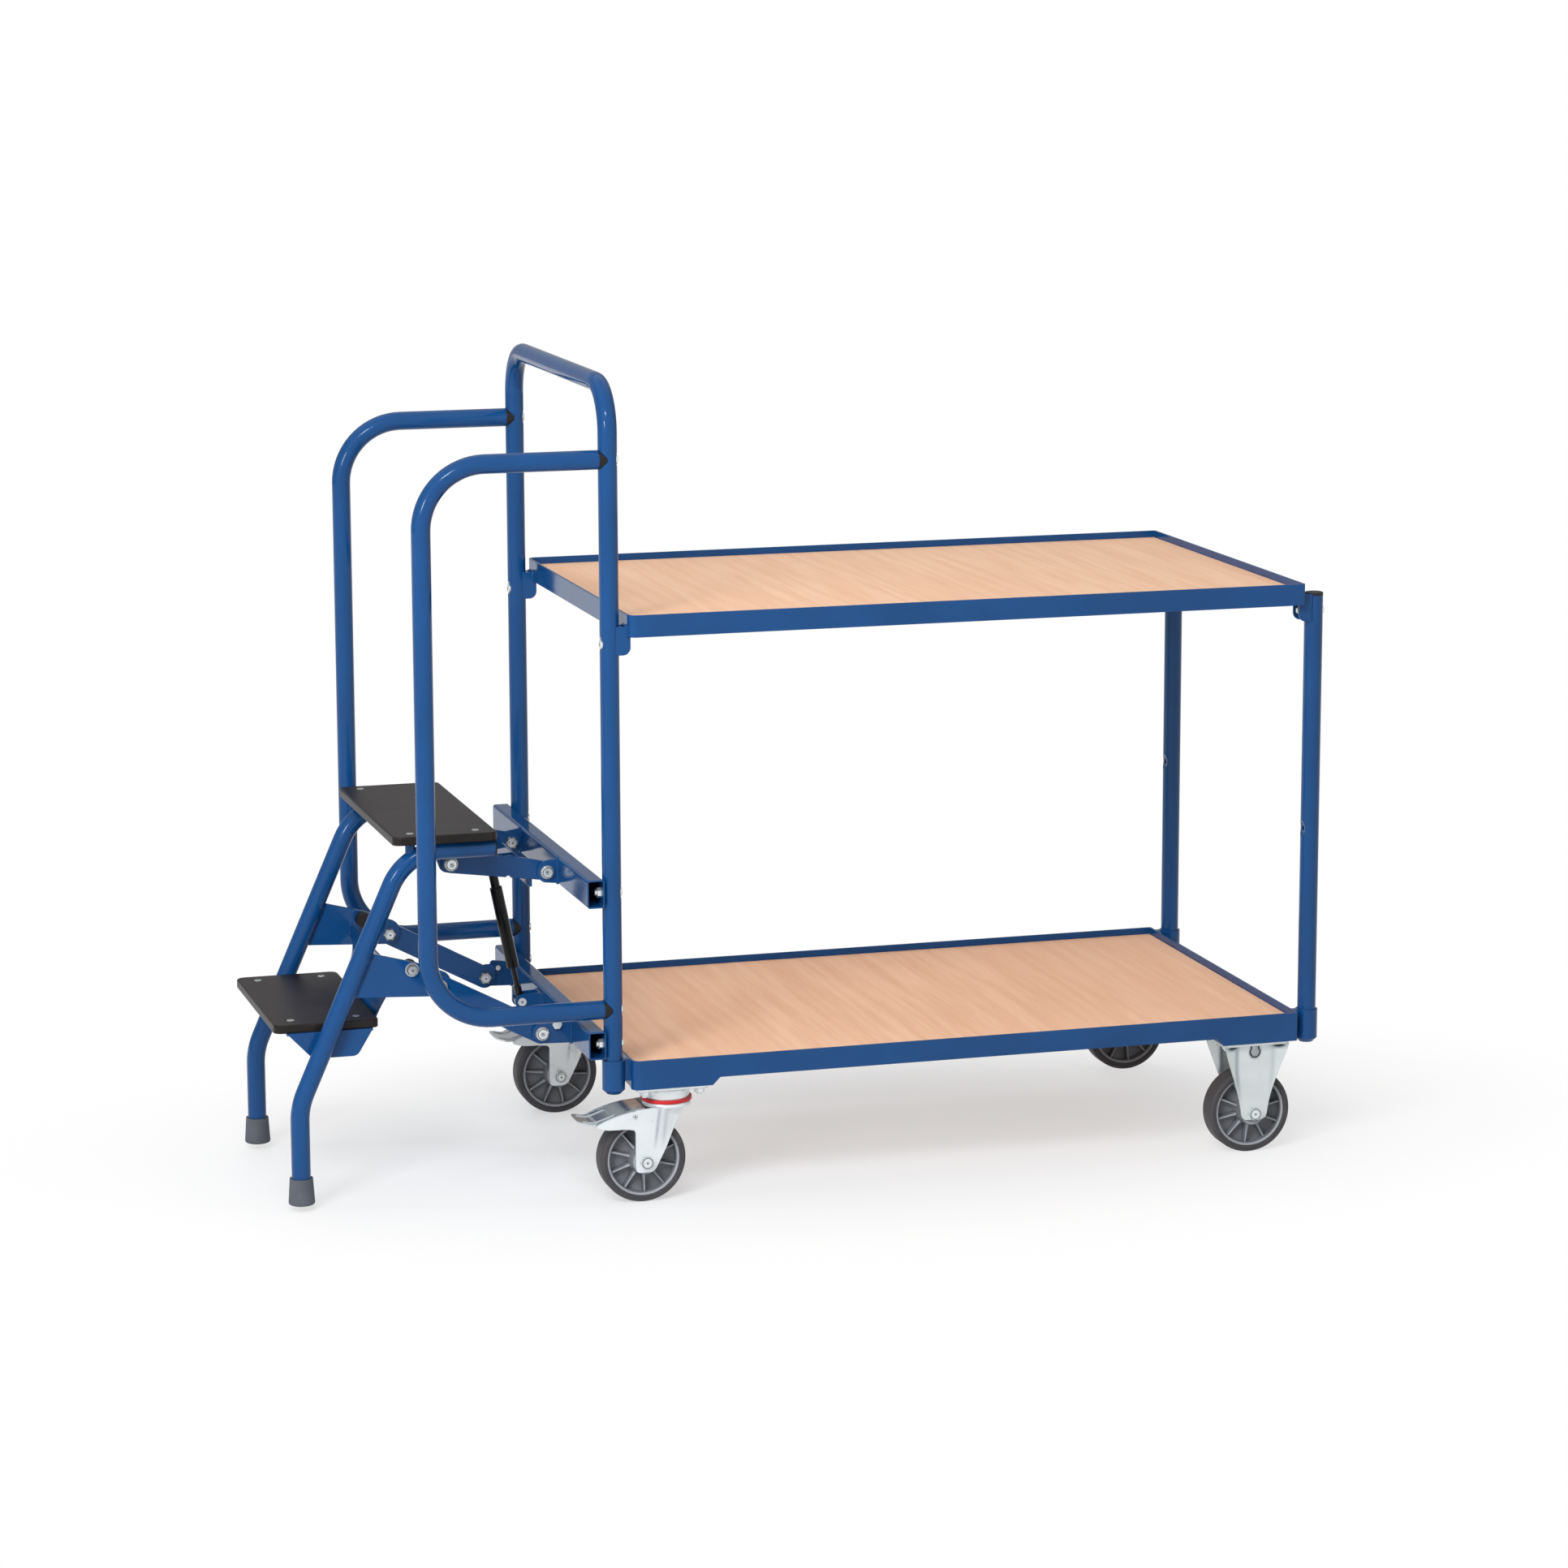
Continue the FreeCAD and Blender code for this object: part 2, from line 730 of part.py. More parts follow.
save("hook_brackets", hooks)

# Guard rails with plastic saddles against the left posts
saddles = []
for side, name in SIDES:
    y = side * post_half
    end_x = left_post - rail_end
    loop_x = left_post - rail_reach
    points = [vec(end_x, y, rail_top_z), vec(loop_x, y, rail_top_z),
              vec(loop_x, y, rail_low_z), vec(end_x, y, rail_low_z)]
    outside, inside = bent_tube(points, [0, rail_bend, rail_bend, 0])
    save("guard_rail_" + name, [outside.cut(inside)])
    for z in (rail_top_z, rail_low_z):
        seat = rod(vec(end_x, y, z), AXIS_X, rail_end - saddle_tip, tube_od)
        spigot = rod(vec(end_x, y, z), AXIS_X * -1, saddle_spigot, tube_id - 2 * plug_fit)
        post_space = rod(vec(left_post, y, z - tube_od), AXIS_Z, 2 * tube_od, tube_od + 2 * contact_gap)
        hole = rod(vec(left_post, y, z), AXIS_X * -1, rail_end + saddle_spigot, bolt_d + 2 * bolt_fit)
        saddles.append(drilled(joined([seat, spigot]), [post_space, hole]))
save("rail_saddles", saddles)

# Crossbars of rectangular tube
for name, z in (("upper_crossbar", upper_bar_z), ("lower_crossbar", lower_bar_z)):
    half_y = post_half + tube_r
    low = z - bar_height / 2
    skin = []
    for inset in (0, bar_wall):
        x0 = bar_face + inset
        x1 = bar_face + bar_depth - inset
        r = bar_corner - inset
        skin.append(plate_xz([(x0, low + inset, r), (x1, low + inset, r), (x1, low + bar_height - inset, r),
                              (x0, low + bar_height - inset, r)], -half_y, half_y))
    bar = skin[0].cut(skin[1])
    for side, side_name in SIDES:
        bar = bar.cut(rod(vec(left_post, side * post_half, z), AXIS_X * -1, tube_r + 2 * bar_wall,
                          bolt_d + 2 * bolt_fit))
    save(name, [bar])

# Ears on the crossbars, the pivot bolts in them and the stop bolts of the lower arms
stop = at_post((lower_ear[0] + stop_from_ear[0], lower_ear[1] + stop_from_ear[1]))
pin_hole = pin_d + 2 * pin_fit
upper_ears = []
lower_ears = []
pivot_pins = []
for side, name in SIDES:
    y0, y1 = across(side, upper_ear_in, plate_t)
    ear = plate_xz(lug(bar_face, upper_bar_z, ear_root_half, at_post(upper_ear), ear_round), y0, y1)
    upper_ears.append(ear.cut(pivot_hole(at_post(upper_ear), pin_hole)))
    pivot_pins.append(pivot_bolt(at_post(upper_ear), side, upper_ear_in + plate_t, upper_arm_in - nut_gap))
    y0, y1 = across(side, lower_ear_in, plate_t)
    outline = lug(bar_face, lower_bar_z, ear_root_half, at_post(lower_ear), ear_round)
    ear = plate_xz(outline, y0, y1)
    stop_ear = plate_xz([(bar_face, lower_ear[1], 0), (bar_face, lower_bar_z + ear_root_half, 0),
                         (stop[0] - stop_cover, stop[1] + stop_cover, stop_cover / 2),
                         (stop[0] - stop_cover, lower_ear[1], 0)], y0, y1)
    ear = drilled(joined([ear, stop_ear]), [pivot_hole(at_post(lower_ear), pin_hole),
                                            pivot_hole(stop, bolt_d + 2 * bolt_fit)])
    lower_ears.append(ear)
    pivot_pins.append(pivot_bolt(at_post(lower_ear), side, lower_ear_in + plate_t, lower_arm_in - nut_gap))
    face = vec(stop[0], side * (lower_ear_in + plate_t), stop[1])
    stop_shank = rod(face, AXIS_Y * -side, 2 * plate_t + side_gap, bolt_d)
    frame_bolts.append(joined([stop_shank, hexagon(face, AXIS_Y * side, bolt_head_h, bolt_head_af)]))
save("frame_bolts", frame_bolts)
save("upper_ears", upper_ears)
save("lower_ears", lower_ears)

# Clevis of the gas spring on the lower crossbar
eye = at_post(spring_eye)
lug_in = eye_width / 2 + lug_gap
clevis = [box(bar_face - clevis_base_t, bar_face, -clevis_base_width / 2, clevis_base_width / 2,
              lower_bar_z - clevis_base_height / 2, lower_bar_z + clevis_base_height / 2)]
for side, name in SIDES:
    y0, y1 = across(side, lug_in, lug_t)
    outline = lug(bar_face - clevis_base_t, spring_eye[1], lug_root_half, eye, lug_round)
    clevis.append(plate_xz(outline, y0, y1))
spring_hole = spring_pin_d + 2 * pin_fit
save("spring_clevis", [joined(clevis).cut(pivot_hole(eye, spring_hole))])
pivot_pins.append(capped_pin(eye, lug_in + lug_t, spring_pin_d, spring_pin_cap_d, spring_pin_cap_h))
save("pivot_pins", pivot_pins)

# Gas spring: rod with its eye below, cylinder with its eye above
top = at_post(spring_top)
spring_base = vec(eye[0], 0, eye[1])
spring_tip = vec(top[0], 0, top[1])
spring_run = (spring_tip - spring_base).Length
spring_axis = (spring_tip - spring_base).normalize()
bore_d = cylinder_d - 2 * cylinder_wall
lower_eye = rod(vec(eye[0], -eye_width / 2, eye[1]), AXIS_Y, eye_width, eye_d)
piston = rod(spring_base + spring_axis * (rod_length - piston_h), spring_axis, piston_h,
             bore_d - 2 * piston_fit)
piston_rod = joined([lower_eye, rod(spring_base, spring_axis, rod_neck + eye_d / 2, rod_neck_d),
                     rod(spring_base, spring_axis, rod_length, rod_d), piston])
save("spring_rod", [piston_rod.cut(pivot_hole(eye, spring_hole))])
cylinder_foot = spring_base + spring_axis * cylinder_start
cylinder_top = cylinder_foot + spring_axis * cylinder_length
upper_eye = rod(vec(top[0], -eye_width / 2, top[1]), AXIS_Y, eye_width, eye_d)
cylinder = joined([rod(cylinder_foot, spring_axis, cylinder_length, cylinder_d),
                   rod(cylinder_top, spring_axis, spring_run - cylinder_start - cylinder_length,
                       cylinder_neck_d),
                   hexagon(spring_tip + spring_axis * (-eye_d / 2 - cylinder_nut_h), spring_axis,
                           cylinder_nut_h, cylinder_nut_af), upper_eye])
cavity = rod(cylinder_foot + spring_axis * cylinder_end_wall, spring_axis,
             cylinder_length - 2 * cylinder_end_wall, bore_d)
guide = rod(cylinder_foot, spring_axis, cylinder_end_wall, rod_d + 2 * pin_fit)
save("spring_cylinder", [drilled(cylinder, [cavity, guide, pivot_hole(top, spring_pin_d + 2 * open_fit)])])

# Upper arm: two cheeks folded from one web, with lugs for the spring's upper pin
p = at_post(upper_ladder)
q = at_post(upper_ear)
web_x = q[0] - web_from_ear
web_z = q[1] + web_top_up
arm = [box(web_x - web_t, web_x, -upper_arm_in, upper_arm_in, web_z - web_height, web_z)]
for side, name in SIDES:
    y0, y1 = across(side, upper_arm_in, plate_t)
    arm.append(plate_xz(strap(p, q, upper_arm_round, upper_arm_hump), y0, y1))
    y0, y1 = across(side, lug_in, lug_t)
    arm.append(plate_xz(lug(web_x - web_t, top[1], lug_root_half, top, lug_round), y0, y1))
arm = drilled(joined(arm), [pivot_hole(p, pin_hole), pivot_hole(q, pin_hole), pivot_hole(top, spring_hole)])
save("upper_arm", [arm])
save("spring_top_pin", [capped_pin(top, lug_in + lug_t, spring_pin_d, spring_pin_cap_d, spring_pin_cap_h)])

# Lower arms with a heel that meets the stop bolt
p = at_post(lower_ladder)
q = at_post(lower_ear)
for side, name in SIDES:
    y0, y1 = across(side, lower_arm_in, plate_t)
    heel = box(q[0], stop[0] - bolt_d / 2 - stop_gap, y0, y1, q[1] + heel_low_up, q[1] + heel_top_up)
    arm = joined([plate_xz(strap(p, q, lower_arm_round, 0), y0, y1), heel])
    arm = drilled(arm, [pivot_hole(p, pin_d + 2 * open_fit), pivot_hole(q, pin_hole)])
    save("lower_arm_" + name, [arm])

# Ladder legs with bosses under the upper step, end plugs and rubber feet
upper_front = left_post + upper_step_front_x
lower_front = left_post + lower_step_front_x
screw_hole = screw_d + 2 * screw_fit
foot_x = left_post + leg_foot_x
leg_outsides = []
leg_plugs = []
feet = []
for side, name in SIDES:
    y = side * leg_half
    points = [vec(foot_x, y, foot_lift + foot_floor), vec(foot_x, y, leg_knee_z),
              vec(left_post + leg_top_x, y, leg_top_z), vec(left_post + leg_end_x, y, leg_top_z)]
    outside, inside = bent_tube(points, [0, leg_knee_bend, leg_top_bend, 0])
    leg_outsides.append(outside)
    boss = rod(vec(upper_front + screw_inset, y, step_seat_z), AXIS_Z * -1, tube_od, boss_d)
    leg = joined([outside, boss]).cut(inside)
    for x in (upper_front + screw_inset, upper_front + step_depth - screw_inset):
        leg = leg.cut(rod(vec(x, y, step_seat_z), AXIS_Z * -1, screw_length - step_thick + contact_gap,
                          screw_hole))
    save("ladder_leg_" + name, [leg])
    end = points[-1]
    leg_plugs.append(joined([rod(end, AXIS_X, leg_plug_cap, tube_od),
                             rod(end, AXIS_X * -1, plug_spigot, tube_id - 2 * plug_fit)]))
    foot = Part.makeCone(foot_d / 2, foot_top_d / 2, foot_height, vec(foot_x, y, foot_lift))
    foot = foot.makeFillet(foot_round, edges_at(foot, foot_lift))
    feet.append(foot.cut(rod(vec(foot_x, y, foot_lift + foot_floor), AXIS_Z, foot_height,
                             tube_od + 2 * contact_gap)))
save("leg_plugs", leg_plugs)
save("ladder_feet", feet)


# Gusset plates on the legs, rubber buffers on them and the ladder's bolts
def leg_axis_x(z):
    share = (z - leg_knee_z) / (leg_top_z - leg_knee_z)
    return foot_x + share * (leg_top_x - leg_foot_x)


p = at_post(lower_ladder)
buffer_at = at_post(buffer_place)
gussets = []
buffers = []
ladder_bolts = []
for (side, name), leg_outside in zip(SIDES, leg_outsides):
    y0, y1 = across(side, gusset_in, plate_t)
    knee = at_post(gusset_knee)
    reach = lower_arm_round
    gusset = plate_xz([(leg_axis_x(gusset_top_z), gusset_top_z, 0), (knee[0], knee[1], gusset_knee_round),
                       (p[0] + reach, p[1] + reach, gusset_round), (p[0] + reach, p[1] - reach, gusset_round),
                       (leg_axis_x(gusset_low_z), gusset_low_z, 0)], y0, y1)
    gussets.append(drilled(gusset, [leg_outside, pivot_hole(p, pin_hole),
                                    pivot_hole(buffer_at, bolt_d + 2 * bolt_fit)]))
    ladder_bolts.append(pivot_bolt(p, side, lower_arm_in + plate_t + nut_gap, gusset_in))
    ladder_bolts.append(pivot_bolt(at_post(upper_ladder), side, upper_arm_in + plate_t + nut_gap,
                                   bracket_flange_in))
    face = vec(buffer_at[0], side * (gusset_in + plate_t), buffer_at[1])
    outward = AXIS_Y * side
    shank = rod(face, outward * -1, plate_t + buffer_bolt_in, bolt_d)
    washer = rod(face, outward, washer_t, washer_d)
    head = hexagon(face + outward * washer_t, outward, bolt_head_h, bolt_head_af)
    ladder_bolts.append(joined([shank, washer, head]))
    inner_face = vec(buffer_at[0], side * gusset_in, buffer_at[1])
    rubber = rod(inner_face, outward * -1, buffer_length, buffer_d)
    buffers.append(rubber.cut(rod(inner_face, outward * -1, buffer_bolt_in, bolt_d)))
save("ladder_gussets", gussets)
save("ladder_buffers", buffers)
save("ladder_bolts", ladder_bolts)

# Upper step bracket: a plate between the legs with two flanges down to the upper arm
p = at_post(upper_ladder)
bracket_x = left_post + bracket_start_x
bracket = [box(bracket_x, bracket_x + bracket_length, -leg_inside, leg_inside,
               leg_top_z - bracket_t / 2, leg_top_z + bracket_t / 2)]
for side, name in SIDES:
    y0, y1 = across(side, bracket_flange_in, bracket_flange_t)
    corner = upper_arm_round * round_share
    flange = plate_xz([(p[0] - bracket_flange_spread, leg_top_z, 0),
                       (p[0] - upper_arm_round, p[1] - upper_arm_round, corner),
                       (p[0] + upper_arm_round, p[1] - upper_arm_round, corner),
                       (p[0] + bracket_flange_spread, leg_top_z, 0)], y0, y1)
    bracket.append(flange.cut(pivot_hole(p, pin_hole)))
save("upper_step_bracket", [joined(bracket)])

# Lower step support: a folded plate between the legs, with a riser panel up to the gussets
support_x = lower_front + support_front_inset
support_end = lower_front + step_depth - support_back_inset
plate_end = lower_front + step_depth + riser_gap
riser_low_half = gusset_in - riser_notch_r
support = [box(support_x, support_end, -leg_inside, leg_inside, support_z - support_t, support_z),
           box(support_end, plate_end, -riser_low_half, riser_low_half, support_z - support_t, support_z)]
for side, name in SIDES:
    y0, y1 = across(side, leg_inside - support_t, support_t)
    low_z = support_z - support_height
    support.append(plate_xz([(support_x, support_z, 0), (support_end, support_z, 0),
                             (support_end - support_low_back, low_z, support_low_round),
                             (support_x + support_low_front, low_z, support_low_round)], y0, y1))
support = joined(support)
bend_x = left_post + riser_x
lean = (bend_x - plate_end) / (riser_bend_z - support_z)
slant_t = riser_t * math.sqrt(1 + lean ** 2)
foot_z = support_z - support_t
riser = plate_xz([(plate_end, foot_z, 0), (plate_end + slant_t - support_t * lean, foot_z, 0),
                  (bend_x + riser_t, riser_bend_z - (slant_t - riser_t) / lean, 0),
                  (bend_x + riser_t, riser_top_z, 0), (bend_x, riser_top_z, 0),
                  (bend_x, riser_bend_z, 0), (plate_end, support_z, 0)], -gusset_in, gusset_in)
for side, name in SIDES:
    notch = rod(vec(plate_end - riser_t, side * gusset_in, foot_z), AXIS_X,
                bend_x - plate_end + 3 * riser_t, 2 * riser_notch_r)
    riser = riser.cut(notch)
save("riser_panel", [riser])

# Steps with countersunk screws
screws = []
steps = (("upper_step", upper_front, upper_step_half, step_seat_z + step_thick, leg_half),
         ("lower_step", lower_front, lower_step_half, lower_step_top, leg_inside - screw_from_leg))
for name, front_x, half_y, top_z, screw_y in steps:
    tread = plate_xy(rectangle(front_x, front_x + step_depth, half_y, step_corner, step_corner),
                     top_z - step_thick, top_z)
    tread = tread.makeFillet(step_edge, edges_at(tread, top_z))
    for x in (front_x + screw_inset, front_x + step_depth - screw_inset):
        for side, side_name in SIDES:
            place = vec(x, side * screw_y, top_z)
            seat = place - AXIS_Z * (screw_head_h - screw_proud)
            tread = tread.cut(rod(seat, AXIS_Z, screw_head_h, screw_head_d + 2 * screw_fit))
            tread = tread.cut(rod(place, AXIS_Z * -1, step_thick, screw_hole))
            screw = joined([rod(seat, AXIS_Z, screw_head_h, screw_head_d),
                            rod(place, AXIS_Z * -1, screw_length, screw_d)])
            socket = hexagon(seat + AXIS_Z * screw_head_h, AXIS_Z * -1, screw_socket_depth, screw_socket_af)
            screws.append(screw.cut(socket))
            if name == "lower_step":
                support = support.cut(rod(place, AXIS_Z * -1, step_thick + support_t, screw_hole))
    save(name, [tread])
save("lower_step_support", [support])
save("step_screws", screws)


# Caster top plates, forks, pedals and wheels
def top_plate(spot, pitch_y):
    half = plate_length / 2
    plate = plate_xy([(spot.x + x, spot.y + y, plate_corner) for x, y in
                      ((-half, -plate_width / 2), (half, -plate_width / 2), (half, plate_width / 2),
                       (-half, plate_width / 2))], plate_z, pad_z)
    for ix in (-1, 1):
        for iy in (-1, 1):
            place = spot + vec(ix * bolt_pitch_x / 2, iy * pitch_y / 2, plate_z)
            plate = plate.cut(rod(place, AXIS_Z, top_plate_t, bolt_d + 2 * bolt_fit))
    return plate


def axle_cut(axle_x, y):
    return rod(vec(axle_x, y - tray_half, axle_z), AXIS_Y, 2 * tray_half, axle_d + 2 * axle_fit)


def axle(axle_x, y):
    """Axle bolt with its head on the trolley's outer side."""
    outward = math.copysign(1, y)
    grip = 2 * (cheek_in + cheek_t)
    face = vec(axle_x, y + outward * grip / 2, axle_z)
    return bolt(face, AXIS_Y * -outward, grip, axle_d, axle_head_af, axle_head_h, axle_nut_h)


def wheel(axle_x, y):
    """Ribbed rim and tyre of one wheel."""
    def disc(diameter, width):
        return rod(vec(axle_x, y - width / 2, axle_z), AXIS_Y, width, diameter)
    tyre = disc(wheel_d, tyre_width)
    tyre = tyre.makeFillet(tyre_round, [edge for edge in tyre.Edges if edge.Length > wheel_d])
    tyre = tyre.cut(disc(rim_d, tyre_width))
    rim_in = rim_d - 2 * rim_ring_t
    ring = disc(rim_d, rim_width).cut(disc(rim_in, rim_width))
    parts = [ring, disc(rim_in, rim_web_t), disc(hub_d, hub_width)]
    for k in range(rib_count):
        rib = box(axle_x, axle_x + rim_in / 2 + rim_ring_t / 2, y - rib_width / 2, y + rib_width / 2,
                  axle_z - rib_t / 2, axle_z + rib_t / 2)
        rib.rotate(vec(axle_x, y, axle_z), AXIS_Y, 360.0 * k / rib_count)
        parts.append(rib)
    return joined(parts).cut(axle_cut(axle_x, y)), tyre


def pedal(axle_x, y):
    """Brake pedal: a bent tread between the cheeks, its two side flanges on the pedal pin."""
    half = pedal_half
    line = (pedal_tip, pedal_dip, pedal_rise, pedal_end)
    rounds = (0, pedal_dip_round, pedal_rise_round, 0)
    upper = [(axle_x + p[0], p[1], r) for p, r in zip(line, rounds)]
    lower = [(x, z - pedal_t, r) for x, z, r in reversed(upper)]
    tread = plate_xz(upper + lower, y - half, y + half)
    plan = rectangle(axle_x + pedal_tip[0], axle_x + pedal_end[0], half, pedal_tip_round, 0)
    plan = [(x, y + dy, r) for x, dy, r in plan]
    top_z = pedal_end[1] + grip_rib_h
    parts = [tread.common(plate_xy(plan, flange_low_z, top_z))]
    raised = plate_xz([(x, z + grip_rib_h, r) for x, z, r in upper] + lower, y - half, y + half)
    grip_front = axle_x + grip_front_x
    grip_back = axle_x + grip_back_x
    inner_half = grip_half - grip_rib_width
    ring = box(grip_front, grip_back, y - grip_half, y + grip_half, flange_low_z, top_z)
    ring = ring.cut(box(grip_front, grip_back - grip_rib_width, y - inner_half, y + inner_half,
                        flange_low_z, top_z))
    parts.append(raised.common(ring))
    pin_x = axle_x + pedal_pin[0]
    for side, name in SIDES:
        y0, y1 = across(side, half - pedal_t, pedal_t)
        slope = (pedal_rise[1] - pedal_dip[1]) / (pedal_rise[0] - pedal_dip[0])
        front_z = pedal_dip[1] + slope * (flange_front_x - pedal_dip[0]) - pedal_t / 2
        corners = [(flange_low_x, flange_low_z, flange_round), (flange_heel_x, flange_low_z, flange_round),
                   (pedal_end[0], pedal_end[1] - pedal_t / 2, 0),
                   (pedal_rise[0], pedal_rise[1] - pedal_t / 2, 0), (flange_front_x, front_z, 0)]
        parts.append(plate_xz([(axle_x + x, z, r) for x, z, r in corners], y + y0, y + y1))
    hole = rod(vec(pin_x, y - tray_half, pedal_pin[1]), AXIS_Y, 2 * tray_half, pedal_pin_d + 2 * pin_fit)
    return joined(parts).cut(hole)


def folded_flank(crease_low, crease_top, corner, side, y, fold):
    """Three-cornered flank of a fork's cheek, turned about its crease until its corner is out by the fold."""
    face_y = y + side * (cheek_in + cheek_t)
    points = [vec(crease_low[0], face_y, crease_low[1]), vec(crease_top[0], face_y, crease_top[1]),
              vec(corner[0], face_y + side * fold, corner[1])]
    return Part.Face(Part.makePolygon(points + points[:1])).extrude(AXIS_Y * (-side * cheek_t))


swivel_plates = []
swivel_seals = []
fixed_forks = []
fixed_axles = []
for spot, inward, name in caster_spots:
    y = spot.y
    if inward > 0:
        axle_x = spot.x - trail
        end_name = name + "_left"
        head = rod(spot + vec(0, 0, head_z), AXIS_Z, head_h, head_d)
        head = head.makeFillet(head_round, edges_at(head, plate_z))
        race = rod(spot + vec(0, 0, head_z), AXIS_Z * -1, seal_h, race_d)
        king_low = crown_z - crown_t - turn_gap - king_cap_h
        king = rod(spot + vec(0, 0, king_low), AXIS_Z, head_z - king_low, king_d)
        king_cap = rod(spot + vec(0, 0, king_low), AXIS_Z, king_cap_h, king_cap_d)
        swivel_plates.append(joined([top_plate(spot, bolt_pitch_y), head, race, king, king_cap]))
        seal = rod(spot + vec(0, 0, head_z - seal_h), AXIS_Z, seal_h, seal_d)
        race_space = rod(spot + vec(0, 0, head_z - seal_h), AXIS_Z, seal_h, race_d + 2 * contact_gap)
        swivel_seals.append(seal.cut(race_space))

        fork = [rod(spot + vec(0, 0, crown_z - crown_t), AXIS_Z, crown_t, crown_d)]
        crown_low = crown_z - crown_t
        crease_low = (axle_x + fork_crease_low[0], fork_crease_low[1])
        crease_top = (axle_x + fork_crease_top, crown_low)
        outline = [(-fork_front, axle_z - fork_low, fork_low_round),
                   (fork_low_back, axle_z - fork_low, fork_low_round),
                   (*fork_crease_low, 0), (fork_crease_top, crown_low, 0),
                   (fork_neck_front, crown_low, 0), (*guard_top, 0), (*guard_rise, 0), (*guard_tip, 0),
                   (guard_tip[0], guard_tip[1] - guard_tip_h, 0), (*guard_low, 0), (*guard_root, guard_round)]
        for side, side_name in SIDES:
            y0, y1 = across(side, cheek_in, cheek_t)
            fork.append(plate_xz([(axle_x + x, z, r) for x, z, r in outline], y + y0, y + y1))
            fork.append(folded_flank(crease_low, crease_top, (axle_x + fork_back_top, crown_low), side, y,
                                     -fork_fold_in))
        king_hole = rod(spot, AXIS_Z, crown_z, king_d + 2 * king_fit)
        pin_cut = rod(vec(axle_x + pedal_pin[0], y - tray_half, pedal_pin[1]), AXIS_Y, 2 * tray_half,
                      pedal_pin_d + 2 * pin_fit)
        save("swivel_fork_" + name, [drilled(joined(fork), [king_hole, axle_cut(axle_x, y), pin_cut])])
        pin = capped_pin((axle_x + pedal_pin[0], pedal_pin[1]), cheek_in + cheek_t,
                         pedal_pin_d, pedal_pin_cap_d, pedal_pin_cap_h)
        pin.translate(vec(0, y, 0))
        save("fork_pins_" + name, [axle(axle_x, y), pin])
        save("brake_pedal_" + name, [pedal(axle_x, y)])
    else:
        axle_x = spot.x
        end_name = name + "_right"
        fork = [top_plate(spot, fixed_bolt_pitch_y)]
        half_outline = [(fixed_low_half, axle_z - fixed_low, fixed_low_round),
                        (*fixed_crease_low, 0), (fixed_crease_top, plate_z, 0)]
        outline = [(axle_x + x, z, r) for x, z, r in half_outline]
        outline += [(axle_x - x, z, r) for x, z, r in reversed(half_outline)]
        for side, side_name in SIDES:
            y0, y1 = across(side, cheek_in, cheek_t)
            fork.append(plate_xz(outline, y + y0, y + y1))
            for end in (-1, 1):
                crease_low = (axle_x + end * fixed_crease_low[0], fixed_crease_low[1])
                crease_top = (axle_x + end * fixed_crease_top, plate_z)
                corner = (axle_x + end * fixed_edge_top, plate_z)
                fork.append(folded_flank(crease_low, crease_top, corner, side, y, fixed_fold_out))
        bulb_z = plate_z - keyhole_down
        bulb = rod(vec(axle_x, y - tray_half, bulb_z), AXIS_Y, 2 * tray_half, keyhole_d)
        neck = box(axle_x - keyhole_neck / 2, axle_x + keyhole_neck / 2, y - tray_half, y + tray_half,
                   bulb_z, plate_z)
        fixed_forks.append(drilled(joined(fork), [axle_cut(axle_x, y), bulb, neck]))
        fixed_axles.append(axle(axle_x, y))
    rim, tyre = wheel(axle_x, y)
    save("wheel_rim_" + end_name, [rim])
    save("wheel_tyre_" + end_name, [tyre])
save("swivel_plates", swivel_plates)
save("swivel_seals", swivel_seals)
save("fixed_forks", fixed_forks)
save("fixed_axles", fixed_axles)
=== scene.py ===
import bmesh
import bpy
import json
import math
from mathutils import Matrix, Vector


